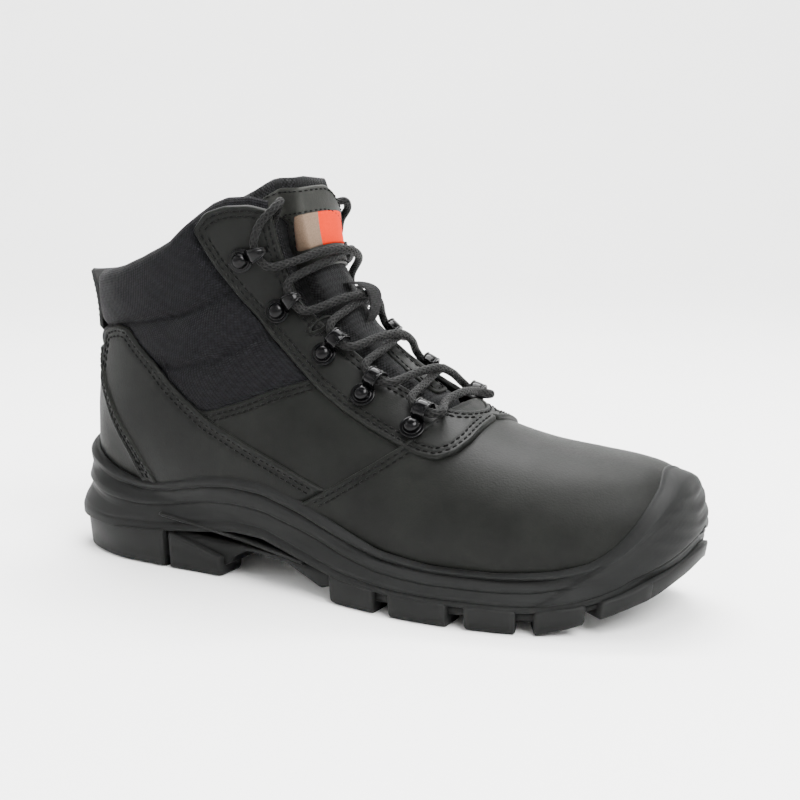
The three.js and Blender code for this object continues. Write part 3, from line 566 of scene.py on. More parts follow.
HEEL_PANEL = [[31, 96], [34, 107], [37, 108.5], [45, 110.5], [52, 109.5], [60, 101.5], [67, 95], [74, 87.5], [83, 80],
              [97, 71], [120, 61.5], [147, 51.5], [162, 46.5], [166, 38], [160, 30], [130, 36], [100, 38],
              [66, 30], [58, 34], [50, 50], [38, 66], [28, 84]]
BACKSTAY_EDGE = [[31.5, 99], [32, 92], [36, 82], [44, 69], [57, 53], [66, 41], [69, 32]]
SIDE_PANEL = [[74, 76], [82, 75], [96, 74.5], [116, 81], [128, 86], [147, 92], [160, 99], [186, 82],
              [206, 68], [200, 60], [182, 50], [160, 38], [140, 40], [120, 52], [96, 62], [80, 72]]
GROOVES = [[[20, 108], [40, 110], [65, 113], [82, 116], [93, 120], [104, 126], [118, 133]],
           [[66, 93], [74, 92], [86, 94], [102, 98], [113, 105], [132, 114]]]


def point_tree(points):
    tree = KDTree(len(points))
    for i, p in enumerate(points):
        tree.insert(p, i)
    tree.balance()
    return tree


def side_table():
    """Places and angles over the outer side, and a tree of their points seen from the side."""
    t, a = np.meshgrid(np.linspace(0.004, 1, 320), np.linspace(0, PI, 220), indexing="ij")
    t, a = t.ravel(), a.ravel()
    return t, a, point_tree(last(t, a) * [1, 0, 1])


TABLE_T, TABLE_A, TABLE_TREE = side_table()


def locate(points):
    """Place and angle on the last of x, z points seen from the side; points beyond it go to its edge."""
    points = np.asarray(points, float)
    nearest = [TABLE_TREE.find((x, 0, z))[1] for x, z in points]
    t, a = TABLE_T[nearest].copy(), TABLE_A[nearest].copy()
    for _ in range(4):
        here = last(t, a)[:, [0, 2]]
        dt = (last(t + 0.002, a)[:, [0, 2]] - here) / 0.002
        da = (last(t, a + 0.01)[:, [0, 2]] - here) / 0.01
        gap = points - here
        det = dt[:, 0] * da[:, 1] - dt[:, 1] * da[:, 0]
        fine = (np.abs(det) > 60) & (np.hypot(*gap.T) < 2.5)
        det = np.where(fine, det, 1)
        step_t = np.clip((gap[:, 0] * da[:, 1] - gap[:, 1] * da[:, 0]) / det, -0.01, 0.01)
        step_a = np.clip((dt[:, 0] * gap[:, 1] - dt[:, 1] * gap[:, 0]) / det, -0.05, 0.05)
        t = np.clip(np.where(fine, t + step_t, t), 0.004, 1)
        a = np.clip(np.where(fine, a + step_a, a), 0, PI)
    return np.stack([t, a], -1)


def trace(points, step=1.5):
    return locate(resample(np.asarray(points, float), step))


def on_side(outline, side):
    return outline * np.array([1, side])


def clean(loop):
    """A loop of places and angles with even 1 mm steps on the surface."""
    spots = last(*loop.T)
    keep = [0]
    for i in range(1, len(loop)):
        if np.linalg.norm(spots[i] - spots[keep[-1]]) > 0.35:
            keep.append(i)
    joined = np.hstack([spots, loop])[keep]
    path = np.vstack([joined, joined[:1]])
    lengths = travelled(path[:, :3])
    s = np.linspace(0, lengths[-1], int(round(lengths[-1])) + 1)
    return np.stack([np.interp(s, lengths, path[:, k]) for k in (3, 4)], -1)[:-1]


def round_corners(loop):
    for _ in range(2):
        loop = 0.25 * np.roll(loop, 1, 0) + 0.5 * loop + 0.25 * np.roll(loop, -1, 0)
    return loop


def inside(points, loop):
    x, y = points[:, 0], points[:, 1]
    hit = np.zeros(len(points), bool)
    x0, y0 = loop[:, 0], loop[:, 1]
    x1, y1 = np.roll(x0, -1), np.roll(y0, -1)
    for k in range(len(loop)):
        cross = (y0[k] > y) != (y1[k] > y)
        if cross.any():
            at = x0[k] + (y - y0[k]) / (y1[k] - y0[k] + 1e-15) * (x1[k] - x0[k])
            hit ^= cross & (x < at)
    return hit


def distances(points, path):
    """Distance of each point to a dense path."""
    tree = path if isinstance(path, KDTree) else point_tree(path)
    return np.array([tree.find(p)[2] for p in points])


# Millimetres in from a panel's edge of its rows of points and of its two rows of stitches.
ROWS = [0.0, 0.12, 0.4, 0.8, 1.25, 1.9, 2.6, 3.3, 4.1, 4.9, 5.6, 6.5, 7.8]
STITCH_ROWS = (2.6, 4.9)
EDGE_ROLL, EDGE_THICK, SEAM_DEEP, SEAM_WIDE = 1.15, 0.25, 0.28, 0.55


def parameter_step(t, a, direction):
    """Change of place and angle for a move on the surface."""
    jt = (last(t + 0.002, a) - last(t - 0.002, a)) / 0.004
    ja = (last(t, a + 0.01) - last(t, a - 0.01)) / 0.02
    tt, ta, aa = (jt * jt).sum(-1), (jt * ja).sum(-1), (ja * ja).sum(-1)
    bt, ba = (jt * direction).sum(-1), (ja * direction).sum(-1)
    det = np.maximum(tt * aa - ta * ta, 1e-6)
    return np.stack([(bt * aa - ba * ta) / det, (ba * tt - bt * ta) / det], -1)


def inward_rows(loop, rows):
    t, a = loop.T
    spots = last(t, a)
    tangent = unit(np.roll(spots, -1, 0) - np.roll(spots, 1, 0))
    direction = np.cross(normal(t, a), tangent)
    around = np.roll(loop, -1, 0) - np.roll(loop, 1, 0)
    left = np.stack([-around[:, 1], around[:, 0]], -1)
    area = 0.5 * np.sum(loop[:, 0] * np.roll(loop[:, 1], -1) - np.roll(loop[:, 0], -1) * loop[:, 1])
    step = parameter_step(t, a, direction)
    scale = np.array([PLACE_LONG, ANGLE_LONG])
    if np.sum((step * scale * left / scale[::-1] * scale.max()).sum(-1)) * np.sign(area) < 0:
        direction = -direction
    out, here = [], loop.copy()
    before = 0.0
    for row in rows:
        if row > before:
            here = here + parameter_step(*here.T, direction) * (row - before)
            before = row
        out.append(here.copy())
    return out


def stitches(path, normals, pitch=3.3, length=2.5, radius=0.42):
    """A thread's stitches along a path, as small capsules that dip at both ends."""
    lengths = travelled(path)
    parts, sides = [], 6
    ring = full_turn(sides)
    for s in np.arange(pitch / 2, lengths[-1] - pitch / 2, pitch):
        pick = [np.array([np.interp(q, lengths, path[:, k]) for k in range(3)])
                for q in (s - length / 2, s + length / 2)]
        up = unit(np.array([np.interp(s, lengths, normals[:, k]) for k in range(3)]))
        along = pick[1] - pick[0]
        across = unit(np.cross(up, along))
        points = []
        for share, wide, rise in ((0.04, 0.45, -0.25), (0.25, 0.95, 0.12), (0.5, 1.0, 0.2),
                                  (0.75, 0.95, 0.12), (0.96, 0.45, -0.25)):
            middle = pick[0] + along * share + up * rise
            points += [middle + radius * wide * (math.cos(r) * across + math.sin(r) * up) for r in ring]
        parts.append((points, capped(5, sides)))
    return merged(parts) if parts else (np.zeros((0, 3)), [])


def runs(mask):
    """Index lists of the true stretches of a circular mask."""
    n = len(mask)
    if mask.all():
        return [list(range(n)) + [0]]
    start = int(np.argmin(mask))
    out, now = [], []
    for k in range(n + 1):
        i = (start + k) % n
        if mask[i] and k < n:
            now.append(i)
        elif now:
            out.append(now)
            now = []
    return out


def panel(name, loop, material, height, base, sew, replaces, spacing=3.0, puff=0.35, extra=()):
    """A leather panel: a closed sheet with a rolled edge, its seams pressed in and stitched where sew
    says. height(points) is the outer face's height over the last, base the inner face's."""
    loop = clean(round_corners(clean(loop)))
    rim = point_tree(resample(last(*loop.T), 0.5, True))
    params, depth = [loop], [np.zeros(len(loop))]
    row_points = {}
    for row, here in list(zip(ROWS, inward_rows(loop, ROWS)))[1:]:
        spots = last(*here.T)
        far = distances(spots, rim)
        good = (far > row * 0.93 - 0.02) & (far < row * 1.3 + 0.3) & inside(here, loop)
        row_points[row] = (here, good)
        if row > 1.3:
            good = good & (np.arange(len(good)) % 2 == 0)
        params.append(here[good])
        depth.append(np.minimum(far[good], row))
    low, high = loop.min(0), loop.max(0)
    step_t = spacing / PLACE_LONG
    middle = last(np.full(5, (low[0] + high[0]) / 2), np.linspace(low[1], high[1], 5))
    wide = travelled(middle)[-1] / max(high[1] - low[1], 1e-6)
    step_a = spacing / wide
    grid_t, grid_a = np.meshgrid(np.arange(low[0], high[0], step_t), np.arange(low[1], high[1], step_a),
                                 indexing="ij")
    grid_a = grid_a + (np.arange(grid_a.shape[0]) % 2)[:, None] * step_a / 2
    grid = np.stack([grid_t.ravel(), grid_a.ravel()], -1)
    grid = grid[inside(grid, loop)]
    far = distances(last(*grid.T), rim)
    keep = far > ROWS[-1] + 0.5 * spacing
    params.append(grid[keep])
    depth.append(far[keep])
    params, depth = np.vstack(params), np.concatenate(depth)
    flat = params * np.array([PLACE_LONG, wide])
    faces_in = [list(range(len(loop)))]
    verts, _, faces, origin, _, _ = delaunay_2d_cdt([Vector(p) for p in flat], [], faces_in, 1, 1e-5)
    params = np.array([v[:] for v in verts]) / [PLACE_LONG, wide]
    spots, out = last(*params.T), normal(*params.T)
    depth = np.array([depth[o[0]] if o else f for o, f in zip(origin, distances(spots, rim))])
    top = height(spots)
    face = base + EDGE_THICK + (top - base - EDGE_THICK) * rolled(depth, EDGE_ROLL)
    face = face + puff * np.sin(PI * np.clip(depth / STITCH_ROWS[0], 0, 1)) * (depth < STITCH_ROWS[0])
    sewn = sew(spots).astype(float)
    for row in STITCH_ROWS:
        face = face - SEAM_DEEP * sewn * bell(depth - row, SEAM_WIDE)
    upper = spots + out * face[:, None]
    lower = spots + out * np.minimum(base, face - 0.2)[:, None]
    points = np.vstack([upper, lower])
    closed = facing_out(points, sheet([tuple(f) for f in faces], len(params)))
    parts, indices = [(points, closed)], [0] * len(closed)
    for row in STITCH_ROWS:
        here, good = row_points[row]
        spots = last(*here.T)
        ups = normal(*here.T)
        line = spots + ups * (height(spots) - 0.05)[:, None]
        for run in runs(good & sew(spots)):
            if len(run) > 4:
                sewed = stitches(line[run], ups[run])
                parts.append(sewed)
                indices += [1] * len(sewed[1])
    for points, faces, index in extra:
        parts.append((points, facing_out(points, faces)))
        indices += [index] * len(faces)
    points, faces = merged(parts)
    piece(name, points, faces, "boot", [material, THREAD_AND_PAINTED_SHADE], replaces, points[:, [0, 2]], indices)


def mirror_loop(half):
    """A loop across the ridge or back from its outer half."""
    other = half[::-1] * np.array([1, -1])
    return np.vstack([half, other[1:-1] if abs(half[0, 1]) < 1e-6 else other])


# ---- Upper ----
def lip_height(x):
    return read(SOLE_LIP[:17], x)


def over_lip(spots):
    return spots[:, 2] > lip_height(spots[:, 0]) + 1.5


def both_sides(outline):
    """Points on both sides of the last along an x, z line."""
    t, a = trace(outline, 1.0).T
    return np.vstack([last(t, a), last(t, -a)])


def line_distance(spots, outline):
    return distances(spots, both_sides(outline))


throat_t = np.linspace(0.955, THROAT[0, 0], 120)
throat_edge = np.stack([throat_t, throat_angle(throat_t)], -1)
throat_edge[-1, 1] = 0.0
eyestay_low = trace(EYESTAY)
eyestay_low[0, 1] = 0.0
eyestay_half = np.vstack([eyestay_low, throat_edge])


def slit(side, place=0.696, angle=0.53, half_long=0.1, half_wide=0.0095):
    """A bound slit between two rings: a dark almond of painted shade where its opening would be, rolled lip, thread
    round it.
    """
    turn = full_turn(64)
    place_long, angle_long = 219, 55  # millimetres for one unit of place and one radian here

    def oval(grow, height):
        t = place + (half_wide + grow / place_long) * np.sin(turn)
        a = side * (angle + (half_long + grow / angle_long) * np.cos(turn))
        return lift(t, a, np.full(len(t), height)), normal(t, a)

    rim, _ = oval(0, 2.2)
    sewn, ups = oval(1.7, 2.0)
    low, _ = oval(0, 1.7)
    high, _ = oval(0, 2.12)
    # The dark almond is painted shade: a closed lens in the thread's dark colour stands in for the slit's shaded
    # opening.
    painted_slit_shade = np.vstack([high, low, high.mean(0), low.mean(0)])
    n = len(turn)
    fan = [(j, (j + 1) % n, 2 * n) for j in range(n)]
    fan += [((j + 1) % n + n, j + n, 2 * n + 1) for j in range(n)]
    fan += [(j + n, (j + 1) % n + n, (j + 1) % n, j) for j in range(n)]
    return [(*tube(rim, circle(0.55, 8), True), 0), (painted_slit_shade, fan, 1),
            (*stitches(np.vstack([sewn, sewn[:1]]), np.vstack([ups, ups[:1]]), 2.9, 2.2), 1)]


panel("eyestay", mirror_loop(eyestay_half), OVERLAY_LEATHER, lambda s: np.full(len(s), 2.05), base=0.2,
      sew=lambda s: s[:, 2] > 0, replaces=["eyestay"], extra=slit(1) + slit(-1))

# Vamp: from the seam with the quarters to under the toe bumper, down into the sole.
vamp_half = trace([*VAMP_SEAM, *LIP_UNDER[9:]])
vamp_half[0, 1] = 0.0
vamp_half = vamp_half[vamp_half[:, 0] > 0.02]
vamp_half = np.vstack([vamp_half, [[0.024, 0.0]]])
panel("vamp", mirror_loop(vamp_half), LEATHER,
      lambda s: 0.35 + 1.6 * (1 - smooth(0, 16, line_distance(s, VAMP_SEAM))), base=-0.7, spacing=2.6,
      sew=lambda s: over_lip(s) & (s[:, 0] < 206), replaces=["vamp"])


def past_seam(spots):
    """Millimetres in front of the vamp's seam."""
    return spots[:, 0] - read([(z, x) for x, z in VAMP_SEAM[::-1]], spots[:, 2])


heel_loop = trace([*HEEL_PANEL, HEEL_PANEL[0]])
side_loop = trace([*SIDE_PANEL, SIDE_PANEL[0]])
for letter, side in (("L", 1), ("M", -1)):
    panel("side_panel_" + letter, on_side(side_loop, side), LEATHER,
          lambda s: np.full(len(s), 0.45), base=-0.9, sew=over_lip, puff=0.2,
          replaces=["side_panel_" + letter])
    panel("heel_panel_" + letter, on_side(heel_loop, side), OVERLAY_LEATHER,
          lambda s: 1.7 - 1.9 * smooth(-3, 1, past_seam(s)), base=0.2,
          sew=lambda s: over_lip(s) & (past_seam(s) < -2), puff=0.55,
          replaces=["heel_panel_" + letter])


def solve_place(angles, line, low=0.42, high=1.0):
    """Place where each angle's path up the last meets a height line z(x)."""
    low, high = np.full(len(angles), low), np.full(len(angles), high)
    for _ in range(24):
        middle = (low + high) / 2
        p = last(middle, angles)
        under = p[:, 2] < line(p[:, 0])
        low, high = np.where(under, middle, low), np.where(under, high, middle)
    return (low + high) / 2


# Backstay: over both heel panels at the back.
back_half = trace(BACKSTAY_EDGE)
top_angles = np.linspace(PI, back_half[0, 1], 24, endpoint=False)
top_edge = solve_place(top_angles, lambda x: np.interp(x, [10, 31.5], [100, 99]))
back_line = np.vstack([np.stack([top_edge, top_angles], -1), back_half,
                       locate([[x, lip_height(x) - 7] for x in np.arange(69, 5, -3.0)])])
back_line[0, 1] = PI
back_line[-1, 1] = PI
other = back_line[::-1].copy()
other[:, 1] = 2 * PI - other[:, 1]
panel("backstay", np.vstack([back_line, other[1:-1]]), LEATHER,
      lambda s: 0.5 + 1.9 * (1 - smooth(0, 12, line_distance(s, BACKSTAY_EDGE))), base=-0.8,
      sew=over_lip, replaces=["backstay"])


# ---- Padded collar: quilted outside, rolled rim, smooth inside; one closed piece ----
COLUMNS, OUTSIDE_ROWS, ROLL_ROWS, INSIDE_ROWS, BACK_ROWS = 230, 52, 10, 16, 24
ROLL_DROP, ROLL_RISE, INSIDE_DEEP = 5.5, 5.3, 34
FULL_UPPER, FULL_LOWER, FULL_WIDE = 4.1, 1.9, 6.0
COLLAR_FRONT, EDGE_GAP = 0.93, 0.04
share = np.linspace(0, 1, COLUMNS)
edge = throat_angle(COLLAR_FRONT) + EDGE_GAP
collar_angles = edge + share * (2 * PI - 2 * edge)
rim_place = solve_place(collar_angles, lambda x: read(RIM, x))
low_place = solve_place(collar_angles, lambda x: read(TEXTILE_LOW, x) - 2)
arc = travelled(last(rim_place, collar_angles))
rise_per_place = np.linalg.norm(last(rim_place, collar_angles) - last(rim_place - 0.02, collar_angles), axis=1) / 0.02
top_place = rim_place - ROLL_DROP / rise_per_place

outside = np.array([low_place + (top_place - low_place) * (k / (OUTSIDE_ROWS - 1)) for k in range(OUTSIDE_ROWS)])
angle_grid = np.repeat(collar_angles[None], OUTSIDE_ROWS, 0)
spots = last(outside, angle_grid).reshape(-1, 3)
seam_gap = distances(spots, np.vstack([both_sides(g) for g in GROOVES]))
eyestay_edge = both_sides(EYESTAY[11:15])
panel_edge = np.vstack([both_sides(HEEL_PANEL[2:10]), both_sides(SIDE_PANEL[1:8]),
                        both_sides([[-20, 101], [31.5, 99]])])
eyestay_gap = distances(spots, eyestay_edge)
panel_gap = distances(spots, panel_edge)
flat_eyestay = np.array(EYESTAY + [[138, 160], [240, 100]])
under_eyestay = inside(spots[:, [0, 2]], flat_eyestay)
below_two = spots[:, 2] < read(GROOVES[1], spots[:, 0])
fullness = np.where(below_two & (spots[:, 0] > 60), FULL_LOWER, FULL_UPPER)
swell = fullness * (1 - np.exp(-(seam_gap / FULL_WIDE) ** 1.1))
swell = swell * (1 - np.exp(-(eyestay_gap / 4.5) ** 1.2)) * (1 - 0.8 * np.exp(-(panel_gap / 4.0) ** 1.2))
swell = np.where(under_eyestay, -0.3 * (1 - np.exp(-eyestay_gap / 2)), swell)
rear_area = np.array([[-20, 101], *BACKSTAY_EDGE, [69, 20], [-20, 20]])
under_panel = np.zeros(len(spots), bool)
for area in (HEEL_PANEL, SIDE_PANEL, rear_area):
    under_panel |= inside(spots[:, [0, 2]], np.array(area, float))
swell = np.where(under_panel & ~under_eyestay, -1.2 * (1 - np.exp(-panel_gap / 1.2)), swell)
crease = np.sin(spots[:, 0] * 0.31 + spots[:, 2] * 0.17) * np.sin(spots[:, 2] * 0.23 + 1.3)
swell = swell + 0.18 * crease * (swell > 0.5) - 1.3 * bell(seam_gap, 1.2) * ~under_eyestay
outer_rows = lift(outside, angle_grid, (swell - 0.35).reshape(outside.shape))
low_in = top_place - INSIDE_DEEP / rise_per_place
inner_places = [top_place + (low_in - top_place) * (k / INSIDE_ROWS) for k in range(INSIDE_ROWS + 1)]
inner_rows = np.array([lift(t, collar_angles, -(UPPER_DEEP + pad_depth(t, collar_angles) + 0.3))
                       for t in inner_places])
start, finish = outer_rows[-1], inner_rows[0]
upward = unit(last(rim_place, collar_angles) - last(rim_place - 0.01, collar_angles))
across = (finish - start) / 2
roll = np.array([start + across * (1 - math.cos(PI * k / ROLL_ROWS))
                 + upward * (ROLL_RISE * math.sin(PI * k / ROLL_ROWS)) for k in range(1, ROLL_ROWS)])
back_rows = np.array([lift(low_in + (low_place - low_in) * (k / BACK_ROWS), collar_angles, np.full(COLUMNS, -2.4))
                      for k in range(BACK_ROWS + 1)])
collar = np.concatenate([outer_rows, roll, inner_rows, back_rows])
ring_count = len(collar)
steps = travelled(collar)
collar_uv = np.stack([np.repeat(arc[None], ring_count, 0), steps - steps[OUTSIDE_ROWS]], -1).reshape(-1, 2)
collar_points = collar.reshape(-1, 3)
collar_faces = grid_faces(ring_count, COLUMNS)
collar_faces += [((ring_count - 1) * COLUMNS + j, (ring_count - 1) * COLUMNS + j + 1, j + 1, j)
                 for j in range(COLUMNS - 1)]
for column in (0, COLUMNS - 1):
    cap = [i * COLUMNS + column for i in range(ring_count)]
    collar_faces.append(tuple(cap if column else cap[::-1]))
collar_piece = piece("padded_collar", collar_points, facing_out(collar_points, collar_faces), "boot",
                     [CORDURA], ["collar_textile_L", "collar_textile_M", "collar_padding"], collar_uv)

# ---- Lining: the whole inside, from the rolled rim down to the toe ----
LINING_ROWS, LINING_TOE, LINING_THICK = 90, 0.1, 0.35
sock_angles = collar_angles[::2]
sock_top = (top_place - 1.5 / rise_per_place)[::2]
rows = []
for k in range(LINING_ROWS + 1):
    t = sock_top + (LINING_TOE - sock_top) * (k / LINING_ROWS)
    a = throat_angle(t) + EDGE_GAP
    a = a + share[::2] * (2 * PI - 2 * a)
    rows.append(lift(t, a, lining_inner(t, a) - 0.05))
sock = np.array(rows)
sock_arc = travelled(sock[0])
sock_rise = np.concatenate([[0], np.cumsum(np.linalg.norm(np.diff(sock, axis=0), axis=2).mean(1))])
sock_uv = np.stack(np.meshgrid(sock_rise, sock_arc, indexing="ij")[::-1], -1).reshape(-1, 2)
middle = sock.mean(1, keepdims=True)
outer_sock = sock + unit(sock - middle) * LINING_THICK
wide = len(sock_angles)
sock_points = np.vstack([sock.reshape(-1, 3), outer_sock.reshape(-1, 3)])
sock_faces = sheet(grid_faces(LINING_ROWS + 1, wide), len(sock_points) // 2)
piece("boot_lining", sock_points, facing_out(sock_points, sock_faces), "boot", [LINING],
      ["vamp_lining", "collar_lining"], np.vstack([sock_uv, sock_uv]))

# ---- Sole: rings of points round the boot; rays leave a centre line from heel to ball ----
# footprint: x, half width outer, half width inner; the others: x, z
FOOTPRINT = np.array([[4, 0, 0], [5.5, 10, 10], [11, 20, 19.5], [22, 29, 27.5], [40, 37, 35.5], [62, 40, 38],
                      [90, 41, 36.5], [120, 43, 35.5], [150, 48, 39.5], [180, 54, 46], [205, 57, 50.5],
                      [230, 56, 52], [255, 51, 50], [275, 42.5, 45.5], [290, 31, 38], [300, 18.5, 30],
                      [306, 5, 20], [308.5, -6, 6]])
SOLE_BOTTOM = np.array([[-5, 22], [4, 12], [8, 4.5], [14, 0], [104, 0], [109, 9], [117, 13], [140, 11.5],
                        [157, 5], [168, 0], [258, 0], [270, 3], [285, 8], [298, 13.5], [306, 20], [315, 32]])
PARTING = np.array([[-5, 22], [10, 16.5], [40, 15.5], [62, 16.5], [90, 19.5], [110, 22], [128, 21.5],
                    [148, 16.5], [172, 11], [200, 9.5], [256, 9.5], [272, 12], [287, 15.5], [300, 22.5], [315, 36]])
REAR, BALL, REAR_Y, BALL_Y = 62.0, 232.0, -0.5, 1.5
SIDE_COLUMNS, TOE_COLUMNS, HEEL_COLUMNS = 120, 90, 70


def centre_y(x):
    return np.interp(x, [REAR, BALL], [REAR_Y, BALL_Y])


ring_x = np.concatenate([np.linspace(REAR, BALL, SIDE_COLUMNS, endpoint=False), np.full(TOE_COLUMNS, BALL),
                         np.linspace(BALL, REAR, SIDE_COLUMNS, endpoint=False), np.full(HEEL_COLUMNS, REAR)])
turns = np.concatenate([np.full(SIDE_COLUMNS, -90.0), np.linspace(-90, 90, TOE_COLUMNS, endpoint=False),
                        np.full(SIDE_COLUMNS, 90.0), np.linspace(90, 270, HEEL_COLUMNS, endpoint=False)])
ring_y = centre_y(ring_x)
aim_x, aim_y = np.cos(np.radians(turns)), np.sin(np.radians(turns))
RING = len(ring_x)


def ring_key(p):
    """Column number of points round the boot."""
    x, y = p[:, 0], p[:, 1]
    toe = np.degrees(np.arctan2(y - BALL_Y, x - BALL))
    heel = np.degrees(np.arctan2(y - REAR_Y, x - REAR)) % 360
    along = (x - REAR) / (BALL - REAR) * SIDE_COLUMNS
    key = np.where(y < centre_y(x), along, 2 * SIDE_COLUMNS + TOE_COLUMNS - along)
    key = np.where(x > BALL, SIDE_COLUMNS + (toe + 90) / 180 * TOE_COLUMNS, key)
    return np.where(x < REAR, 2 * SIDE_COLUMNS + TOE_COLUMNS + (heel - 90) / 180 * HEEL_COLUMNS, key) % RING


def wrap_interp(key, value):
    order = np.argsort(key)
    key, value = key[order], value[order]
    key = np.concatenate([key - RING, key, key + RING])
    return np.interp(np.arange(RING), key, np.tile(value, 3))


def soften(values, times):
    for _ in range(times):
        values = 0.25 * np.roll(values, 1) + 0.5 * values + 0.25 * np.roll(values, -1)
    return values


lip_points = both_sides(SOLE_LIP)
lip_z = soften(wrap_interp(ring_key(lip_points), lip_points[:, 2]), 3)
outline = np.vstack([np.stack([FOOTPRINT[:, 0], -FOOTPRINT[:, 1]], -1),
                     np.stack([FOOTPRINT[1:-1, 0], FOOTPRINT[1:-1, 2]], -1)[::-1]])
outline = np.hstack([outline, np.zeros((len(outline), 1))])
outline = resample(spline(np.vstack([outline[-2:], outline, outline[:3]]), 8)[14:], 1.0)
foot = soften(wrap_interp(ring_key(outline), np.hypot(outline[:, 0] - np.clip(outline[:, 0], REAR, BALL),
                                                      outline[:, 1] - centre_y(outline[:, 0]))), 4)
wall_x = ring_x + aim_x * foot
part_z = soften(read(PARTING, wall_x), 3)
bottom_z = soften(read(SOLE_BOTTOM, wall_x), 1)

t_grid, a_grid = np.meshgrid(np.linspace(0.003, 1, 330), np.linspace(-PI, PI, 260, endpoint=False), indexing="ij")
last_grid = last(t_grid, a_grid)
last_tree = BVHTree.FromPolygons(last_grid.reshape(-1, 3).tolist(), grid_faces(330, 260, True))


def last_reach(z):
    """Distance along each ray to the last at heights z; far below zero where there is none."""
    out, outside = np.full(RING, -99.0), 150
    for k in range(RING):
        start = Vector((ring_x[k] + aim_x[k] * outside, ring_y[k] + aim_y[k] * outside, z[k]))
        hit, _, _, far = last_tree.ray_cast(start, Vector((-aim_x[k], -aim_y[k], 0)))
        if hit is not None:
            out[k] = outside - far
    return out


def ring_at(reach, z):
    return np.stack([ring_x + aim_x * reach, ring_y + aim_y * reach, np.broadcast_to(z, reach.shape)], -1)


toe_turn = np.where((turns > -90) & (turns < 90), np.abs(turns), 90.0)
toe_share = 1 - smooth(42, 60, toe_turn)
heel_share = smooth(105, 150, np.where(turns > 90, np.minimum(turns, 360 - turns), 90.0))
wall_top = np.minimum(lip_z, 44)
WALL_THICK, HEEL_THICKER, HEEL_OUT, NOSE_IN, BLEND = 3.4, 1.5, 2.8, 1.4, 2


def base_reach(z):
    """The wall before its relief: over the last near the lip, over the footprint lower down."""
    inset = np.array([np.interp(height, [0, 8, 0.3 * top + 7, 0.75 * top + 1, top - 1, top + 12],
                                [0, 0, 0.4, 3, 8, 16]) for height, top in zip(z, wall_top)])
    over = last_reach(z) + WALL_THICK + HEEL_THICKER * heel_share
    under = foot - inset + HEEL_OUT * heel_share - NOSE_IN * (1 - smooth(20, 60, toe_turn))
    return (over + under + np.sqrt((over - under) ** 2 + BLEND ** 2)) / 2


# relief of the sole's wall: share of the way down, millimetres outwards
SIDE_PROFILE = np.array([[0, -1.6], [0.02, -0.7], [0.05, 0.1], [0.1, 0.55], [0.155, 0.2], [0.18, -0.75],
                         [0.205, -0.1], [0.25, 0.25], [0.34, 0.55], [0.42, 0.5], [0.455, 0.2],
                         [0.475, -0.5], [0.5, 0.1], [0.6, 0.25], [0.72, 0.3], [0.8, 0.15], [0.84, -0.5],
                         [0.88, 0.2], [0.95, 0.5], [1, 0.3]])
HEEL_PROFILE = np.array([[0, -1.6], [0.03, -0.6], [0.08, 0.5], [0.2, 1.0], [0.34, 1.3], [0.46, 0.4], [0.56, -1.6],
                         [0.62, -1.9], [0.7, -0.8], [0.8, 0.6], [0.9, 1.2], [1, 1.0]])
TOE_PROFILE = np.array([[0, -1.8], [0.02, -0.6], [0.05, 0.4], [0.09, 0.7], [0.14, 0.3], [0.2, 0.1], [0.5, 0.3],
                        [0.74, 0.6], [0.79, 0.5], [0.82, -0.6], [0.85, 0.3], [0.93, 0.6], [1, 0.4]])
WALL_ROWS = 72
NOSE_FLAT, BUMPER_HIGH, GROOVE_DEEP, RIB_HIGH, RIB_PITCH, RIB_SLANT = 1.2, 1.1, 0.7, 0.42, 6.2, 0.22
CREASE_TURN, CREASE_SPREAD = 38, 24  # degrees from the toe at the lip, and further out lower down


def wall_relief(f, z):
    """How far the wall stands out at a share f of its height from the lip down."""
    relief = read(SIDE_PROFILE, f) * (1 - heel_share) + read(HEEL_PROFILE, f) * heel_share
    relief = relief * (1 - toe_share) + read(TOE_PROFILE, f) * toe_share
    relief = relief - NOSE_FLAT * smooth(0.12, 0.4, f) * (1 - smooth(12, 50, toe_turn))
    gap = (CREASE_TURN + CREASE_SPREAD * (f - 0.08) / 0.72 - toe_turn) * 0.95
    bumper = BUMPER_HIGH * smooth(-0.9, 0.9, gap) - GROOVE_DEEP * bell(gap + 1.2, 0.9)
    relief = relief + bumper * smooth(0.0, 0.1, f) * (1 - smooth(0.8, 0.9, f)) * (toe_turn < 89)
    ribs = RIB_HIGH * np.maximum(np.sin(2 * PI * (z - RIB_SLANT * toe_turn) / RIB_PITCH), -0.3)
    return relief + ribs * (1 - smooth(16, 34, toe_turn)) * smooth(0.14, 0.26, f) * (1 - smooth(0.66, 0.78, f))


wall = []
for f in np.arange(WALL_ROWS + 1) / WALL_ROWS:
    z = lip_z + (part_z - lip_z) * f
    wall.append(ring_at(base_reach(z) + wall_relief(f, z), z))
wall = np.array(wall)
lip_reach = last_reach(lip_z)
top_reach = np.hypot(wall[0, :, 0] - ring_x, wall[0, :, 1] - ring_y)
inner_top = np.maximum(lip_reach, top_reach - 8)
crown = [ring_at(inner_top - 1.6, lip_z - 4), ring_at(inner_top - 1.0, lip_z - 0.6),
         ring_at(inner_top * 0.6 + top_reach * 0.4, lip_z + 0.55),
         ring_at(inner_top * 0.25 + top_reach * 0.75, lip_z + 0.5)]
foot_reach = np.hypot(wall[-1, :, 0] - ring_x, wall[-1, :, 1] - ring_y)
sole_under = [ring_at(foot_reach - 1.5, part_z - 0.6), ring_at(foot_reach - 14, part_z - 0.6),
              ring_at(foot_reach - 15, part_z + 4)]
sole_rings = np.concatenate([np.array(crown), wall, np.array(sole_under)])
sole_points = sole_rings.reshape(-1, 3)
sole_faces = grid_faces(len(sole_rings), RING, True) + last_to_first(len(sole_rings), RING)
piece("sole_cup", sole_points, facing_out(sole_points, sole_faces), "boot", [MIDSOLE],
      ["midsole"], sole_points[:, [0, 2]])

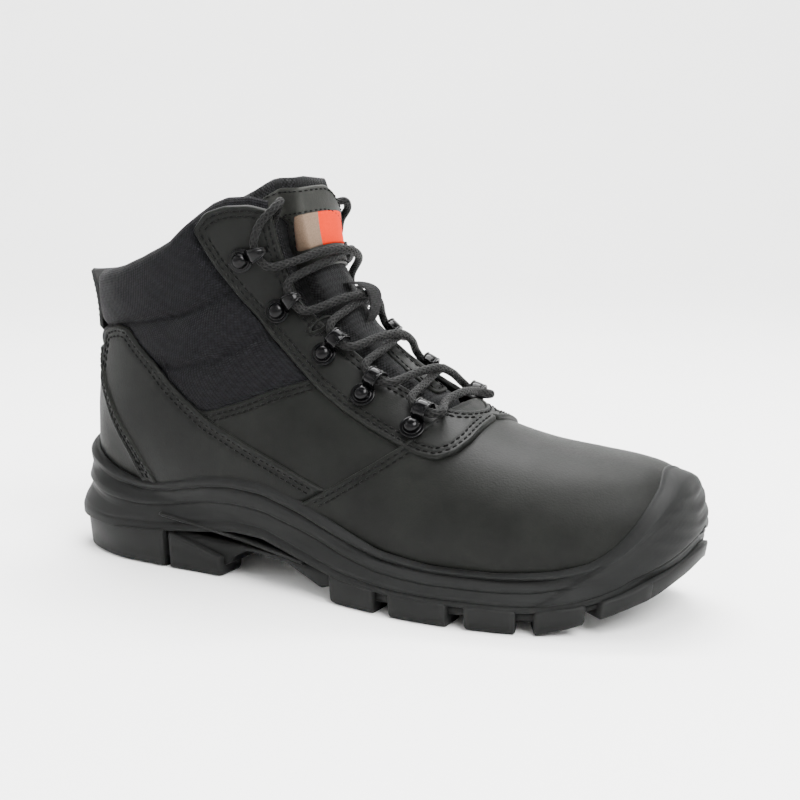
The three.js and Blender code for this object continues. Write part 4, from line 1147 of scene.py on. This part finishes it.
# Tread: a recessed plate with lugs round its edge and in the middle.
PLATE_INSET = 2.6
plate_reach = foot - PLATE_INSET


def plate_ring(reach, share, inset=0.0):
    """Ring of the plate between its underside (share 0) and its top (share 1)."""
    x, y = ring_x + aim_x * reach, ring_y + aim_y * reach
    lugged = 1 - smooth(103, 108, x) * (1 - smooth(158, 166, x))
    high = read(PARTING, x) - 0.3
    high = np.minimum(high, np.interp(x, [0, 70, 110, 150, 230, 260, 300], [18, 18, 16, 14, 13, 14.5, 24]))
    low = np.minimum(read(SOLE_BOTTOM, x) + 0.6 + 4.4 * lugged, high - 0.9)
    return np.stack([x, y, low + (high - low) * share + inset], -1)


plate_rings = [plate_ring(plate_reach * s, 1) for s in (0.001, 0.3, 0.6, 0.9, 1)]
plate_rings += [plate_ring(plate_reach, 0.5), plate_ring(plate_reach - 0.2, 0, 0.5), plate_ring(plate_reach - 1.0, 0)]
plate_rings += [plate_ring(plate_reach * s, 0) for s in (0.85, 0.7, 0.5, 0.3, 0.001)]
plate_rings = np.array(plate_rings)
tread = [(plate_rings.reshape(-1, 3), grid_faces(len(plate_rings), RING, True))]
tread[0] = (tread[0][0], facing_out(*tread[0]))


def ring_value(values, key):
    return np.interp(key, np.arange(-RING, 2 * RING), np.tile(values, 3))


def ring_point(key, reach, z):
    x, y = ring_value(ring_x, key), ring_value(ring_y, key)
    turn = np.interp(key, np.arange(-RING, 2 * RING),
                     np.concatenate([turns - 360, turns, turns + 360]))
    return np.array([x + math.cos(math.radians(turn)) * reach, y + math.sin(math.radians(turn)) * reach, z])


def key_at(x, side):
    """Column where the wall stands at x, on the outer (1) or inner (-1) side."""
    half = SIDE_COLUMNS + TOE_COLUMNS // 2
    if side > 0:
        keys = np.arange(-HEEL_COLUMNS // 2 + 1, half)
    else:
        keys = np.arange(RING - HEEL_COLUMNS // 2, half, -1)
    xs = ring_value(wall_x, keys)
    return float(np.interp(x, xs, keys))


def lug(start, finish, tops, bottoms, out, deep, taper=1.6):
    """A tread block between two columns; tops and bottoms are heights at its two ends, or None."""
    count = max(6, int(abs(finish - start) * 1.4 / 1.5))
    rings = []
    for i in range(count + 3):
        u = np.clip((i - 1) / count, 0, 1)
        end = i in (0, count + 2)
        key = start + (finish - start) * u
        reach = ring_value(foot, key) + out
        low = ring_value(bottom_z, key) if bottoms is None else bottoms[0] + (bottoms[1] - bottoms[0]) * u
        high = ring_value(part_z, key) + 0.4 if tops is None else tops[0] + (tops[1] - tops[0]) * u
        inner = reach - deep
        corners = [(reach - taper * 0.2, high), (reach, high - 1.0), (reach - taper * 0.6, low + 1.2),
                   (reach - taper - 0.4, low + 0.3), (reach - taper - 1.3, low), (inner + 1.2, low),
                   (inner + 0.3, low + 0.4), (inner - 0.4, low + 1.5), (inner - 1.0, high)]
        middle = np.array([(reach + inner) / 2, (low + high) / 2 + 1])
        rings.append([ring_point(key, *(middle + (np.array(c) - middle) * ([0.95, 0.88] if end else [1, 1])))
                      for c in corners])
    rings = np.array(rings)
    rings[0] = rings[0] + unit(rings[1] - rings[2]) * 0.7
    rings[-1] = rings[-1] + unit(rings[-2] - rings[-3]) * 0.7
    points = rings.reshape(-1, 3)
    return points, facing_out(points, capped(*rings.shape[:2]))


heel_from, heel_to = key_at(71, 1), key_at(71, -1)
tread.append(lug(heel_from, heel_to - RING, None, None, 1.2, 20, 2.2))
# from x, to x, heights of the top and underside at both ends, out past the wall, depth inwards
LUGS = [(75.5, 103.5, (17.0, 9.5), None, 0.9, 17), (167, 188.5, None, None, 0.7, 15),
        (197.5, 222, None, None, 0.8, 15), (231, 250, None, None, 0.8, 15),
        (258.5, 275, None, None, 0.8, 14), (281.5, 296, None, None, 0.8, 13)]
RIBS = [(70, 150, (25.6, 15.6), (23.0, 13.2), 0.35, 6)]
for side in (1, -1):
    for x0, x1, tops, bottoms, out, deep in LUGS + RIBS:
        tread.append(lug(key_at(x0, side), key_at(x1, side), tops, bottoms, out, deep))
front = SIDE_COLUMNS + TOE_COLUMNS / 2
tread.append(lug(front - 14, front + 9, None, None, 0.6, 12))


def block(corners, low, high):
    """A bevelled tread block from its outline in plan."""
    c = np.array(corners, float)
    middle = c.mean(0)
    rings = []
    for scale, z in ((1.04, high), (1.0, low + 0.8), (0.94, low), (0.5, low), (0.02, low)):
        rings.append([(*(middle + (p - middle) * scale), z) for p in c])
    rings.insert(0, [(*(middle + (p - middle) * 0.02), high) for p in c])
    points = np.array(rings).reshape(-1, 3)
    return points, facing_out(points, grid_faces(len(rings), len(c), True))


BLOCK_HEIGHTS = 0.25, 6.5
for x in (180, 206, 231, 254):
    for sign in (-1, 1):
        y0, y1 = 2.0 * sign + 1, 33.0 * sign + 1
        tread.append(block([(x - 5, y0), (x + 4, y0), (x + 11, (y0 + y1) / 2), (x + 4, y1), (x - 5, y1),
                            (x + 2, (y0 + y1) / 2)], *BLOCK_HEIGHTS))
for x in (28, 46, 88):
    tread.append(block([(x - 5, -15), (x + 5, -15), (x + 8, 0), (x + 5, 15), (x - 5, 15), (x - 2, 0)],
                       *BLOCK_HEIGHTS))
tread_points, tread_faces = merged(tread)
piece("tread", tread_points, tread_faces, "boot", [OUTSOLE], ["outsole"],
      tread_points[:, [0, 2]])

# ---- Tongue ----
TONGUE_ENDS = (0.362, 0.985)
# Sewn patches as places and angles: the badge's leather at the top, a plain one low down.
BADGE_LOW, BADGE_HIGH, BADGE_LONG, BADGE_TURN = 0.8, 0.968, 0.168, 0.03
LOWER_PATCH, LOWER_REACH = (0.455, 0.6), 0.13
KEEPER_PLACE, KEEPER_LONG, KEEPER_REACH = 0.7035, 0.1, 0.09
TONGUE_REACH = np.array([[0.36, 0.5], [0.6, 0.75], [0.8, 1.0], [0.93, 1.22], [1, 1.28]])


def tongue_face(t, a):
    room = 2.3 + 4.1 * smooth(0.66, 0.73, t)
    deep = lining_inner(t, a) - room
    edge = throat_angle(t)
    middle = (1 - smooth(0.55, 0.8, np.abs(a) / edge)) * smooth(0.405, 0.45, t)
    return deep + (-1.5 - deep) * middle


def soft_block(place, angle, top, bottom, rows, around, edge=0.25, end=3.0):
    """A closed pad: place(u, v), angle(u, v), top(t, a) and bottom(t, a, v) heights; round at its sides
    and ends. Also gives the map in millimetres, u along and v across."""
    turn = full_turn(around)
    v, rise = rounded(np.cos(turn), edge), rounded(np.sin(turn), 0.55)
    length = np.linalg.norm(np.diff(last(place(np.linspace(0, 1, 30), 0), 0.0), axis=0), axis=1).sum()
    ends = np.array([0.02, 0.12, 0.3, 0.55, 0.8, 1.0]) * end / length
    u = np.concatenate([ends, np.linspace(ends[-1], 1 - ends[-1], rows)[1:-1], 1 - ends[::-1]])
    shrink = rolled(np.minimum(u, 1 - u) * length, end, 0.02)
    uu, vv = np.meshgrid(u, v, indexing="ij")
    t, a = place(uu, vv), angle(uu, vv)
    high, low = top(t, a), bottom(t, a, vv)
    middle, half = (high + low) / 2, (high - low) / 2 * shrink[:, None]
    points = lift(t, a, middle + half * rise[None])
    across = np.linalg.norm(np.diff(lift(t, a, high), axis=1, append=lift(t, a, high)[:, :1]), axis=2).cumsum(1)
    uv = np.stack([uu * length, across], -1)
    flat = points.reshape(-1, 3)
    return flat, facing_out(flat, capped(len(u), around)), uv.reshape(-1, 2)


def patch_gap(t, a, low, high, reach):
    """Millimetres outside a patch's outline, below zero inside it."""
    ends = np.maximum((low - t) * PLACE_LONG, (t - high) * PLACE_LONG)
    return np.maximum(ends, (np.abs(a) - reach) * ANGLE_LONG)


def badge_reach(u):
    return 0.47 + 0.4 * smooth(0.62, 0.95, u)


def tongue_top(t, a):
    upper = patch_gap(t, a - BADGE_TURN, BADGE_LOW, BADGE_HIGH, badge_reach((t - BADGE_LOW) / BADGE_LONG))
    gap = np.minimum(upper, patch_gap(t, a, *LOWER_PATCH, LOWER_REACH))
    edge = throat_angle(t)
    free = 1 - smooth(0.75, 1.0, np.abs(a) / edge) * (1 - smooth(0.88, 0.93, t))
    swell = 1.5 * (1 - np.exp(-np.maximum(gap, 0) / 3.0)) * free * smooth(0.4, 0.44, t)
    rib = 0.22 * np.sin(t * PLACE_LONG * 2 * PI / 17 + np.abs(a) * 5) * (gap > 1) * free
    sewn = -0.7 * bell(gap - 0.3, 0.8)
    return tongue_face(t, a) + swell + rib + sewn - 0.1


def tongue_bottom(t, a, v):
    swell = smooth(0.42, 0.55, t) * (1 - 0.6 * np.abs(v) ** 4)
    return tongue_face(t, a) - 2.4 - 3.6 * swell


def top_drop(a):
    """How far the tongue's top edge falls away beside its highest point."""
    return 0.05 * smooth(0.2, 0.75, 0.32 - a) + 0.012 * smooth(0.6, 1.1, a)


TONGUE_LONG = TONGUE_ENDS[1] - TONGUE_ENDS[0]
points, faces, uv = soft_block(lambda u, v: TONGUE_ENDS[0] + (TONGUE_LONG - top_drop(1.25 * v)) * u,
                               lambda u, v: read(TONGUE_REACH, TONGUE_ENDS[0] + TONGUE_LONG * u) * v,
                               tongue_top, tongue_bottom, 120, 96, 0.5, 7.0)
padded_tongue = piece("padded_tongue", points, faces, "tongue", [TONGUE_CLOTH], ["tongue_pad"], uv)


def flat_patch(name, place, angle, top, thick, materials, replaces, body="tongue", columns=40, step=1.1,
               border=(2.0,), colour=None, puff=0.0, corner=3.0, level_border=None):
    """A sewn patch in place u, v: rounded corners, rolled edge, a stitched border."""
    u_line = np.linspace(0, 1, 40)
    long = np.linalg.norm(np.diff(lift(place(u_line), 0 * u_line, 0 * u_line), axis=0), axis=1).sum()
    half = float(np.linalg.norm(lift(place(0.5), angle(0.5, 1.0), 0.0) - lift(place(0.5), angle(0.5, 0.0), 0.0)))
    rows = max(12, int(long / step))
    u = (1 - np.cos(np.linspace(0, PI, rows))) / 2 * 0.5 + np.linspace(0, 1, rows) * 0.5
    v = np.sin(np.linspace(-PI / 2, PI / 2, columns)) * 0.5 + np.linspace(-1, 1, columns) * 0.5
    uu, vv = np.meshgrid(u, v, indexing="ij")
    from_end = np.minimum(uu, 1 - uu) * long
    narrow = corner - np.minimum(from_end, corner)
    pull = (corner - np.sqrt(np.maximum(corner ** 2 - narrow ** 2, 0))) / half
    wide = 1 - pull
    from_side = (1 - np.abs(vv)) * half * wide
    depth = np.minimum(from_end, from_side)
    t, a = place(uu, vv), angle(uu, vv * wide)
    high = top(t, a) - thick * 0.75 * (1 - rolled(depth, 0.7)) + puff * (1 - np.exp(-depth / 5))
    for row in border:
        high = high - 0.25 * bell(depth - row, 0.5)
    upper, lower = lift(t, a, high), lift(t, a, top(t, a) - thick)
    points = np.vstack([upper.reshape(-1, 3), lower.reshape(-1, 3)])
    faces = facing_out(points, sheet(grid_faces(rows, columns), rows * columns))
    indices = [0] * len(faces)
    if colour is not None:
        centre = (vv[:-1, :-1] + vv[1:, 1:]).ravel() / 2
        indices[:len(centre)] = [1 if c > colour else 0 for c in centre]
    parts = [(points, faces)]

    def sew_line(t, a, rise=0.0):
        parts.append(stitches(lift(t, a, top(t, a) + 0.02 + rise), normal(t, a), 2.9, 2.1, 0.36))
        indices.extend([len(materials)] * len(parts[-1][1]))

    for row in border:
        share_u, share_v = row / long, row / half
        corner_u, corner_v = share_u + corner * 0.3 / long, share_v + corner * 0.3 / half
        route = [(corner_u, 1 - share_v), (1 - corner_u, 1 - share_v), (1 - share_u, 1 - corner_v),
                 (1 - share_u, -1 + corner_v), (1 - corner_u, -1 + share_v), (corner_u, -1 + share_v),
                 (share_u, -1 + corner_v), (share_u, 1 - corner_v), (corner_u, 1 - share_v)]
        dense = resample(np.array([(p * long, q * half) for p, q in route]), 0.6) / [long, half]
        sew_line(place(*dense.T), angle(*dense.T), puff * (1 - math.exp(-row / 5)))
    if level_border is not None:
        v = np.linspace(-0.97, 0.97, 80)
        sew_line(place(np.full(80, level_border), v), angle(np.full(80, level_border), v))
    points, faces = merged(parts)
    piece(name, points, faces, body, [*materials, THREAD_AND_PAINTED_SHADE], replaces, points[:, [1, 2]], indices)


def between(low, high):
    return lambda u, v=0: low + (high - low) * np.asarray(u) + 0 * np.asarray(v)


flat_patch("tongue_badge_leather",
           lambda u, v=0: BADGE_LOW + (BADGE_LONG - 0.85 * top_drop(
               BADGE_TURN + badge_reach(u) * np.asarray(v))) * np.asarray(u),
           lambda u, v: BADGE_TURN + badge_reach(u) * v,
           lambda t, a: tongue_face(t, a) + 1.45, 1.3, [TONGUE_LEATHER], ["tongue_top_patch"],
           columns=70, border=(1.3,), level_border=0.73)
flat_patch("tongue_badge", between(0.846, 0.919), lambda u, v: 0.1 + 0.36 * v,
           lambda t, a: tongue_face(t, a) + 1.85, 0.6, [ORANGE, TAUPE], ["tongue_label"], step=0.9,
           border=(), colour=0.31, corner=1.2, columns=80)
flat_patch("tongue_lower_leather", between(*LOWER_PATCH), lambda u, v: LOWER_REACH * v,
           lambda t, a: tongue_face(t, a) + 1.2, 1.1, [OVERLAY_LEATHER], ["tongue_lower_patch"])

# The webbing loop that holds the lace, over the middle of the tongue; it is not attached to any body.
def keeper_rise(t):
    u = np.clip((t - KEEPER_PLACE) / KEEPER_LONG + 0.5, 0, 1)
    return -1.15 + 10.2 * np.sin(PI * u) ** 0.6


uu, vv = np.meshgrid(np.linspace(0, 1, 61), np.linspace(-1, 1, 19), indexing="ij")
t, a = KEEPER_PLACE + KEEPER_LONG * (uu - 0.5), KEEPER_REACH * vv
edge_round = np.sqrt(np.maximum(0.05, 1 - np.maximum(0, (np.abs(vv) - 0.85) / 0.15) ** 2))
ribs = 0.12 * np.sin(uu * 2 * PI * 26)
low_side = keeper_rise(t)
over = lift(t, a, low_side + 0.45 + 0.45 * edge_round + ribs * (np.abs(vv) < 0.85))
under = lift(t, a, low_side + 0.45 - 0.4 * edge_round)
ring = np.concatenate([over, under[:, ::-1]], 1)
points = ring.reshape(-1, 3)
keeper = piece("webbing_keeper", points, facing_out(points, capped(*ring.shape[:2])), None, [WEBBING],
               ["lace_keeper"], points[:, [1, 2]])
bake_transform(keeper)

# Gussets: thin cloth folded between the tongue's edges and the lining.
for letter, side in (("L", 1), ("M", -1)):
    points, faces, uv = soft_block(between(0.42, 0.64),
                                   lambda u, v, s=side: s * (throat_angle(0.42 + 0.22 * u) + 0.2 + 0.13 * v),
                                   lambda t, a: lining_inner(t, a) - 0.75,
                                   lambda t, a, v: lining_inner(t, a) - 1.45, 40, 32, 0.4, 2.0)
    gusset = piece("cloth_gusset_" + letter, points, faces, None, [TONGUE_CLOTH],
                   ["gusset_" + letter], uv)
    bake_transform(gusset)

# ---- Pull tab ----
tab_low, tab_high = solve_place(np.full(2, PI), lambda x: np.array([103.5, 134.0]), 0.6, 1.0)


def tab_lean(t):
    return 1.1 + 5 * np.clip((t - tab_low) / (tab_high - tab_low), 0, 1) ** 1.5


flat_patch("pull_tab_strap", between(tab_low, tab_high), lambda u, v: PI + 0.36 * v,
           lambda t, a: tab_lean(t) + 3.1, 2.0, [SUEDE], ["pull_tab"], body="pull_tab",
           border=(1.8, 4.2), puff=0.0, corner=2.0, columns=44)


# ---- Lace rings and rivets ----
def lathe(profile, sides=32):
    """An r, z profile turned about z."""
    profile = np.array(profile, float)
    a = full_turn(sides)
    points = np.stack([profile[:, None, 0] * np.cos(a), profile[:, None, 0] * np.sin(a),
                       np.repeat(profile[:, 1:2], sides, 1)], -1)
    return points.reshape(-1, 3), grid_faces(len(profile), sides, True)


def closed_lathe(profile, sides=32):
    """Lathe of a closed section: a ring."""
    points, faces = lathe(profile, sides)
    return points, faces + last_to_first(len(profile), sides)


plate = closed_lathe([[2.0, 2.35], [5.0, 2.35], [5.3, 2.5], [5.4, 2.85], [5.3, 3.2], [5.0, 3.4], [4.3, 3.3],
                      [3.6, 3.3], [2.0, 3.3]], 36)
collar_ring = closed_lathe([[2.2, 3.35], [3.9, 3.35], [4.15, 3.55], [4.1, 3.85], [3.8, 4.0], [2.2, 4.0]], 32)
shank = lathe([[0.001, 2.35], [1.5, 2.35], [1.5, 3.7], [2.0, 3.9], [3.0, 4.05], [3.35, 4.5], [3.4, 5.0], [3.2, 5.6],
               [2.75, 6.2], [2.1, 6.65], [1.3, 6.93], [0.6, 7.0], [0.001, 7.0]], 32)


def strap(path, width, thick):
    """Flat strap along a path in u, w, n with rounded edges; width may change along it."""
    route = resample(spline(np.array(path, float), 8), 0.45)
    n = len(route)
    width = np.interp(np.linspace(0, 1, n), np.linspace(0, 1, len(width)), width)
    turn = full_turn(14)
    shape = np.stack([rounded(np.cos(turn), 0.6), np.sin(turn)], -1)
    section = shape[None] * np.stack([width / 2, np.full(n, thick / 2)], -1)[:, None]
    return tube(route, section, up=np.cross(unit(np.gradient(route, axis=0)), [0.0, 1.0, 0.0]))


TUNNEL = strap([[4.3, 0, 2.9], [4.3, 0, 5.3], [5.4, 0, 7.6], [8.0, 0, 8.6], [10.6, 0, 7.8], [12.1, 0, 5.6],
                [12.5, 0, 2.6]], [5.4, 5.8, 6.2, 6.2, 5.8, 5.0, 4.2], 1.4)
TUNNEL_RIM = [strap([[4.3, w, 3.1], [4.2, w, 5.4], [5.3, w, 7.9], [8.0, w, 8.95], [10.8, w, 8.0], [12.35, w, 5.7],
                     [12.65, w, 2.9]], [1.0] * 7, 1.0) for w in (-2.7, 2.7)]
HOOK = strap([[3.6, 0, 2.9], [4.2, 0, 5.4], [6.2, 0, 7.8], [9.4, 0, 8.5], [11.8, 0, 6.9], [12.5, 0, 4.3],
              [12.5, 0, 2.7]], [5.2, 5.8, 5.6, 4.4, 3.0, 2.2, 1.8], 1.2)
HOOK_RIM = [strap([[3.7, 2.7 * s, 3.0], [4.3, 2.9 * s, 5.4], [6.3, 2.8 * s, 7.9], [9.4, 2.1 * s, 8.7],
                   [11.9, 1.3 * s, 7.0], [12.6, 0.9 * s, 4.4], [12.6, 0.8 * s, 2.7]], [0.9] * 7, 0.9)
            for s in (-1, 1)]
for row in range(len(RING_PLACES)):
    for letter, side in (("L", 1), ("M", -1)):
        origin, u_axis, w_axis, n_axis = ring_frame(row, side)
        axes = np.array([u_axis, w_axis, n_axis])
        for name, node, parts in (("lace_loop", "lace_ring", [plate, *((TUNNEL, *TUNNEL_RIM) if row < 3
                                                                       else (HOOK, *HOOK_RIM))]),
                                  ("dome_rivet", "ring_rivet", [collar_ring, shank])):
            placed = []
            for p, f in parts:
                moved = np.asarray(p) @ axes + origin
                placed.append((moved, facing_out(moved, f)))
            points, faces = merged(placed)
            piece(f"{name}_{letter}{row + 1}", points, faces, "boot", [HARDWARE],
                  [f"{node}_{letter}{row + 1}"], points[:, [0, 2]])

# ---- Lace: a round braid, mapped by millimetres along and turns around ----
LACE_SIDES = 16
points, faces = tube(LACE_PATH, circle(CORD / 2, LACE_SIDES))
along = np.arange(len(LACE_PATH)) * (CORD_LENGTH * 1000 / (len(LACE_PATH) - 1))
uv = np.stack(np.meshgrid(along, np.arange(LACE_SIDES) / LACE_SIDES, indexing="ij"), -1).reshape(-1, 2)
lace_piece = piece("braided_lace", points, facing_out(points, faces), "boot", [BRAID], ["lace"], uv)
layer = lace_piece.data.uv_layers[0].data
for polygon in lace_piece.data.polygons:
    turns_round = [layer[k].uv[1] for k in polygon.loop_indices]
    if len(turns_round) == 4 and max(turns_round) - min(turns_round) > 0.5:
        for k in polygon.loop_indices:
            if layer[k].uv[1] < 0.5:
                layer[k].uv[1] += 1.0

# ---- Pieces that stay as CAD made them ----
for name, slot, material in (("steel_toe_cap", "steel", STEEL), ("puncture_plate", "steel", STEEL),
                             ("heel_stiffener", "board", BOARD), ("insole_board", "board", BOARD),
                             ("footbed", "footbed", FELT), ("aglet_L", "lace_tip", TIP),
                             ("aglet_M", "lace_tip", TIP)):
    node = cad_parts[name]
    node.data.materials.clear()
    node.data.materials.append(material)
    node.data.polygons.foreach_set("material_index", [0] * len(node.data.polygons))


# ---- Stage, in metres: pale floor that sweeps up all round, soft studio light ----
def make_stage():
    flat, bend, wall_top, steps, sides = 2.0, 1.5, 4.5, 12, 64
    profile = [(0.001, 0.0), (flat / 2, 0.0), (flat, 0.0)]
    profile += [(flat + bend * math.sin(k * PI / (2 * steps)), bend - bend * math.cos(k * PI / (2 * steps)))
                for k in range(1, steps + 1)]
    profile.append((flat + bend, wall_top))
    verts = [(radius * math.cos(2 * PI * k / sides), radius * math.sin(2 * PI * k / sides), z)
             for radius, z in profile for k in range(sides)]
    faces = grid_faces(len(profile), sides, True)
    mesh = bpy.data.meshes.new("stage_floor")
    mesh.from_pydata(verts, [], faces)
    mesh.polygons.foreach_set("use_smooth", [True] * len(faces))
    white = Nodes("stage paint", Roughness=0.9, Specular_IOR_Level=0.1)
    tone = white.span(white.noise(3, 2), 0.3, 0.7)
    white.done(white.mix(tone, (0.86, 0.86, 0.855), (0.88, 0.88, 0.875)))
    mesh.materials.append(white.material)
    floor = bpy.data.objects.new("stage_floor", mesh)
    bpy.context.scene.collection.objects.link(floor)


def area_light(name, place, aim, size, power):
    light = bpy.data.lights.new(name, "AREA")
    light.shape = "RECTANGLE"
    light.size, light.size_y = size
    light.energy = power
    obj = bpy.data.objects.new(name, light)
    obj.location = place
    obj.rotation_euler = (Vector(aim) - Vector(place)).to_track_quat("-Z", "Y").to_euler()
    bpy.context.scene.collection.objects.link(obj)


make_stage()
area_light("key", (0.85, -0.45, 1.05), (0.06, 0, 0.08), (0.8, 0.8), 50)
area_light("top", (-0.05, 0.3, 1.4), (0.0, 0, 0.05), (1.1, 0.9), 54)
area_light("fill", (-0.7, -1.2, 0.75), (0.0, 0, 0.06), (0.7, 0.7), 3)
for spot, power in ((117.6, 300), (20, 18), (200, 18), (290, 12)):
    turn = math.radians(spot)
    x, y = math.cos(turn), math.sin(turn)
    area_light(f"wall_{spot:.0f}", (1.9 * x, 1.9 * y, 3.6), (3.3 * x, 3.3 * y, 0.7), (2.6, 0.8), power)
world = bpy.data.worlds.new("world")
world.use_nodes = True
world.node_tree.nodes["Background"].inputs["Color"].default_value = (1, 1, 1, 1)
world.node_tree.nodes["Background"].inputs["Strength"].default_value = 0.22
bpy.context.scene.world = world
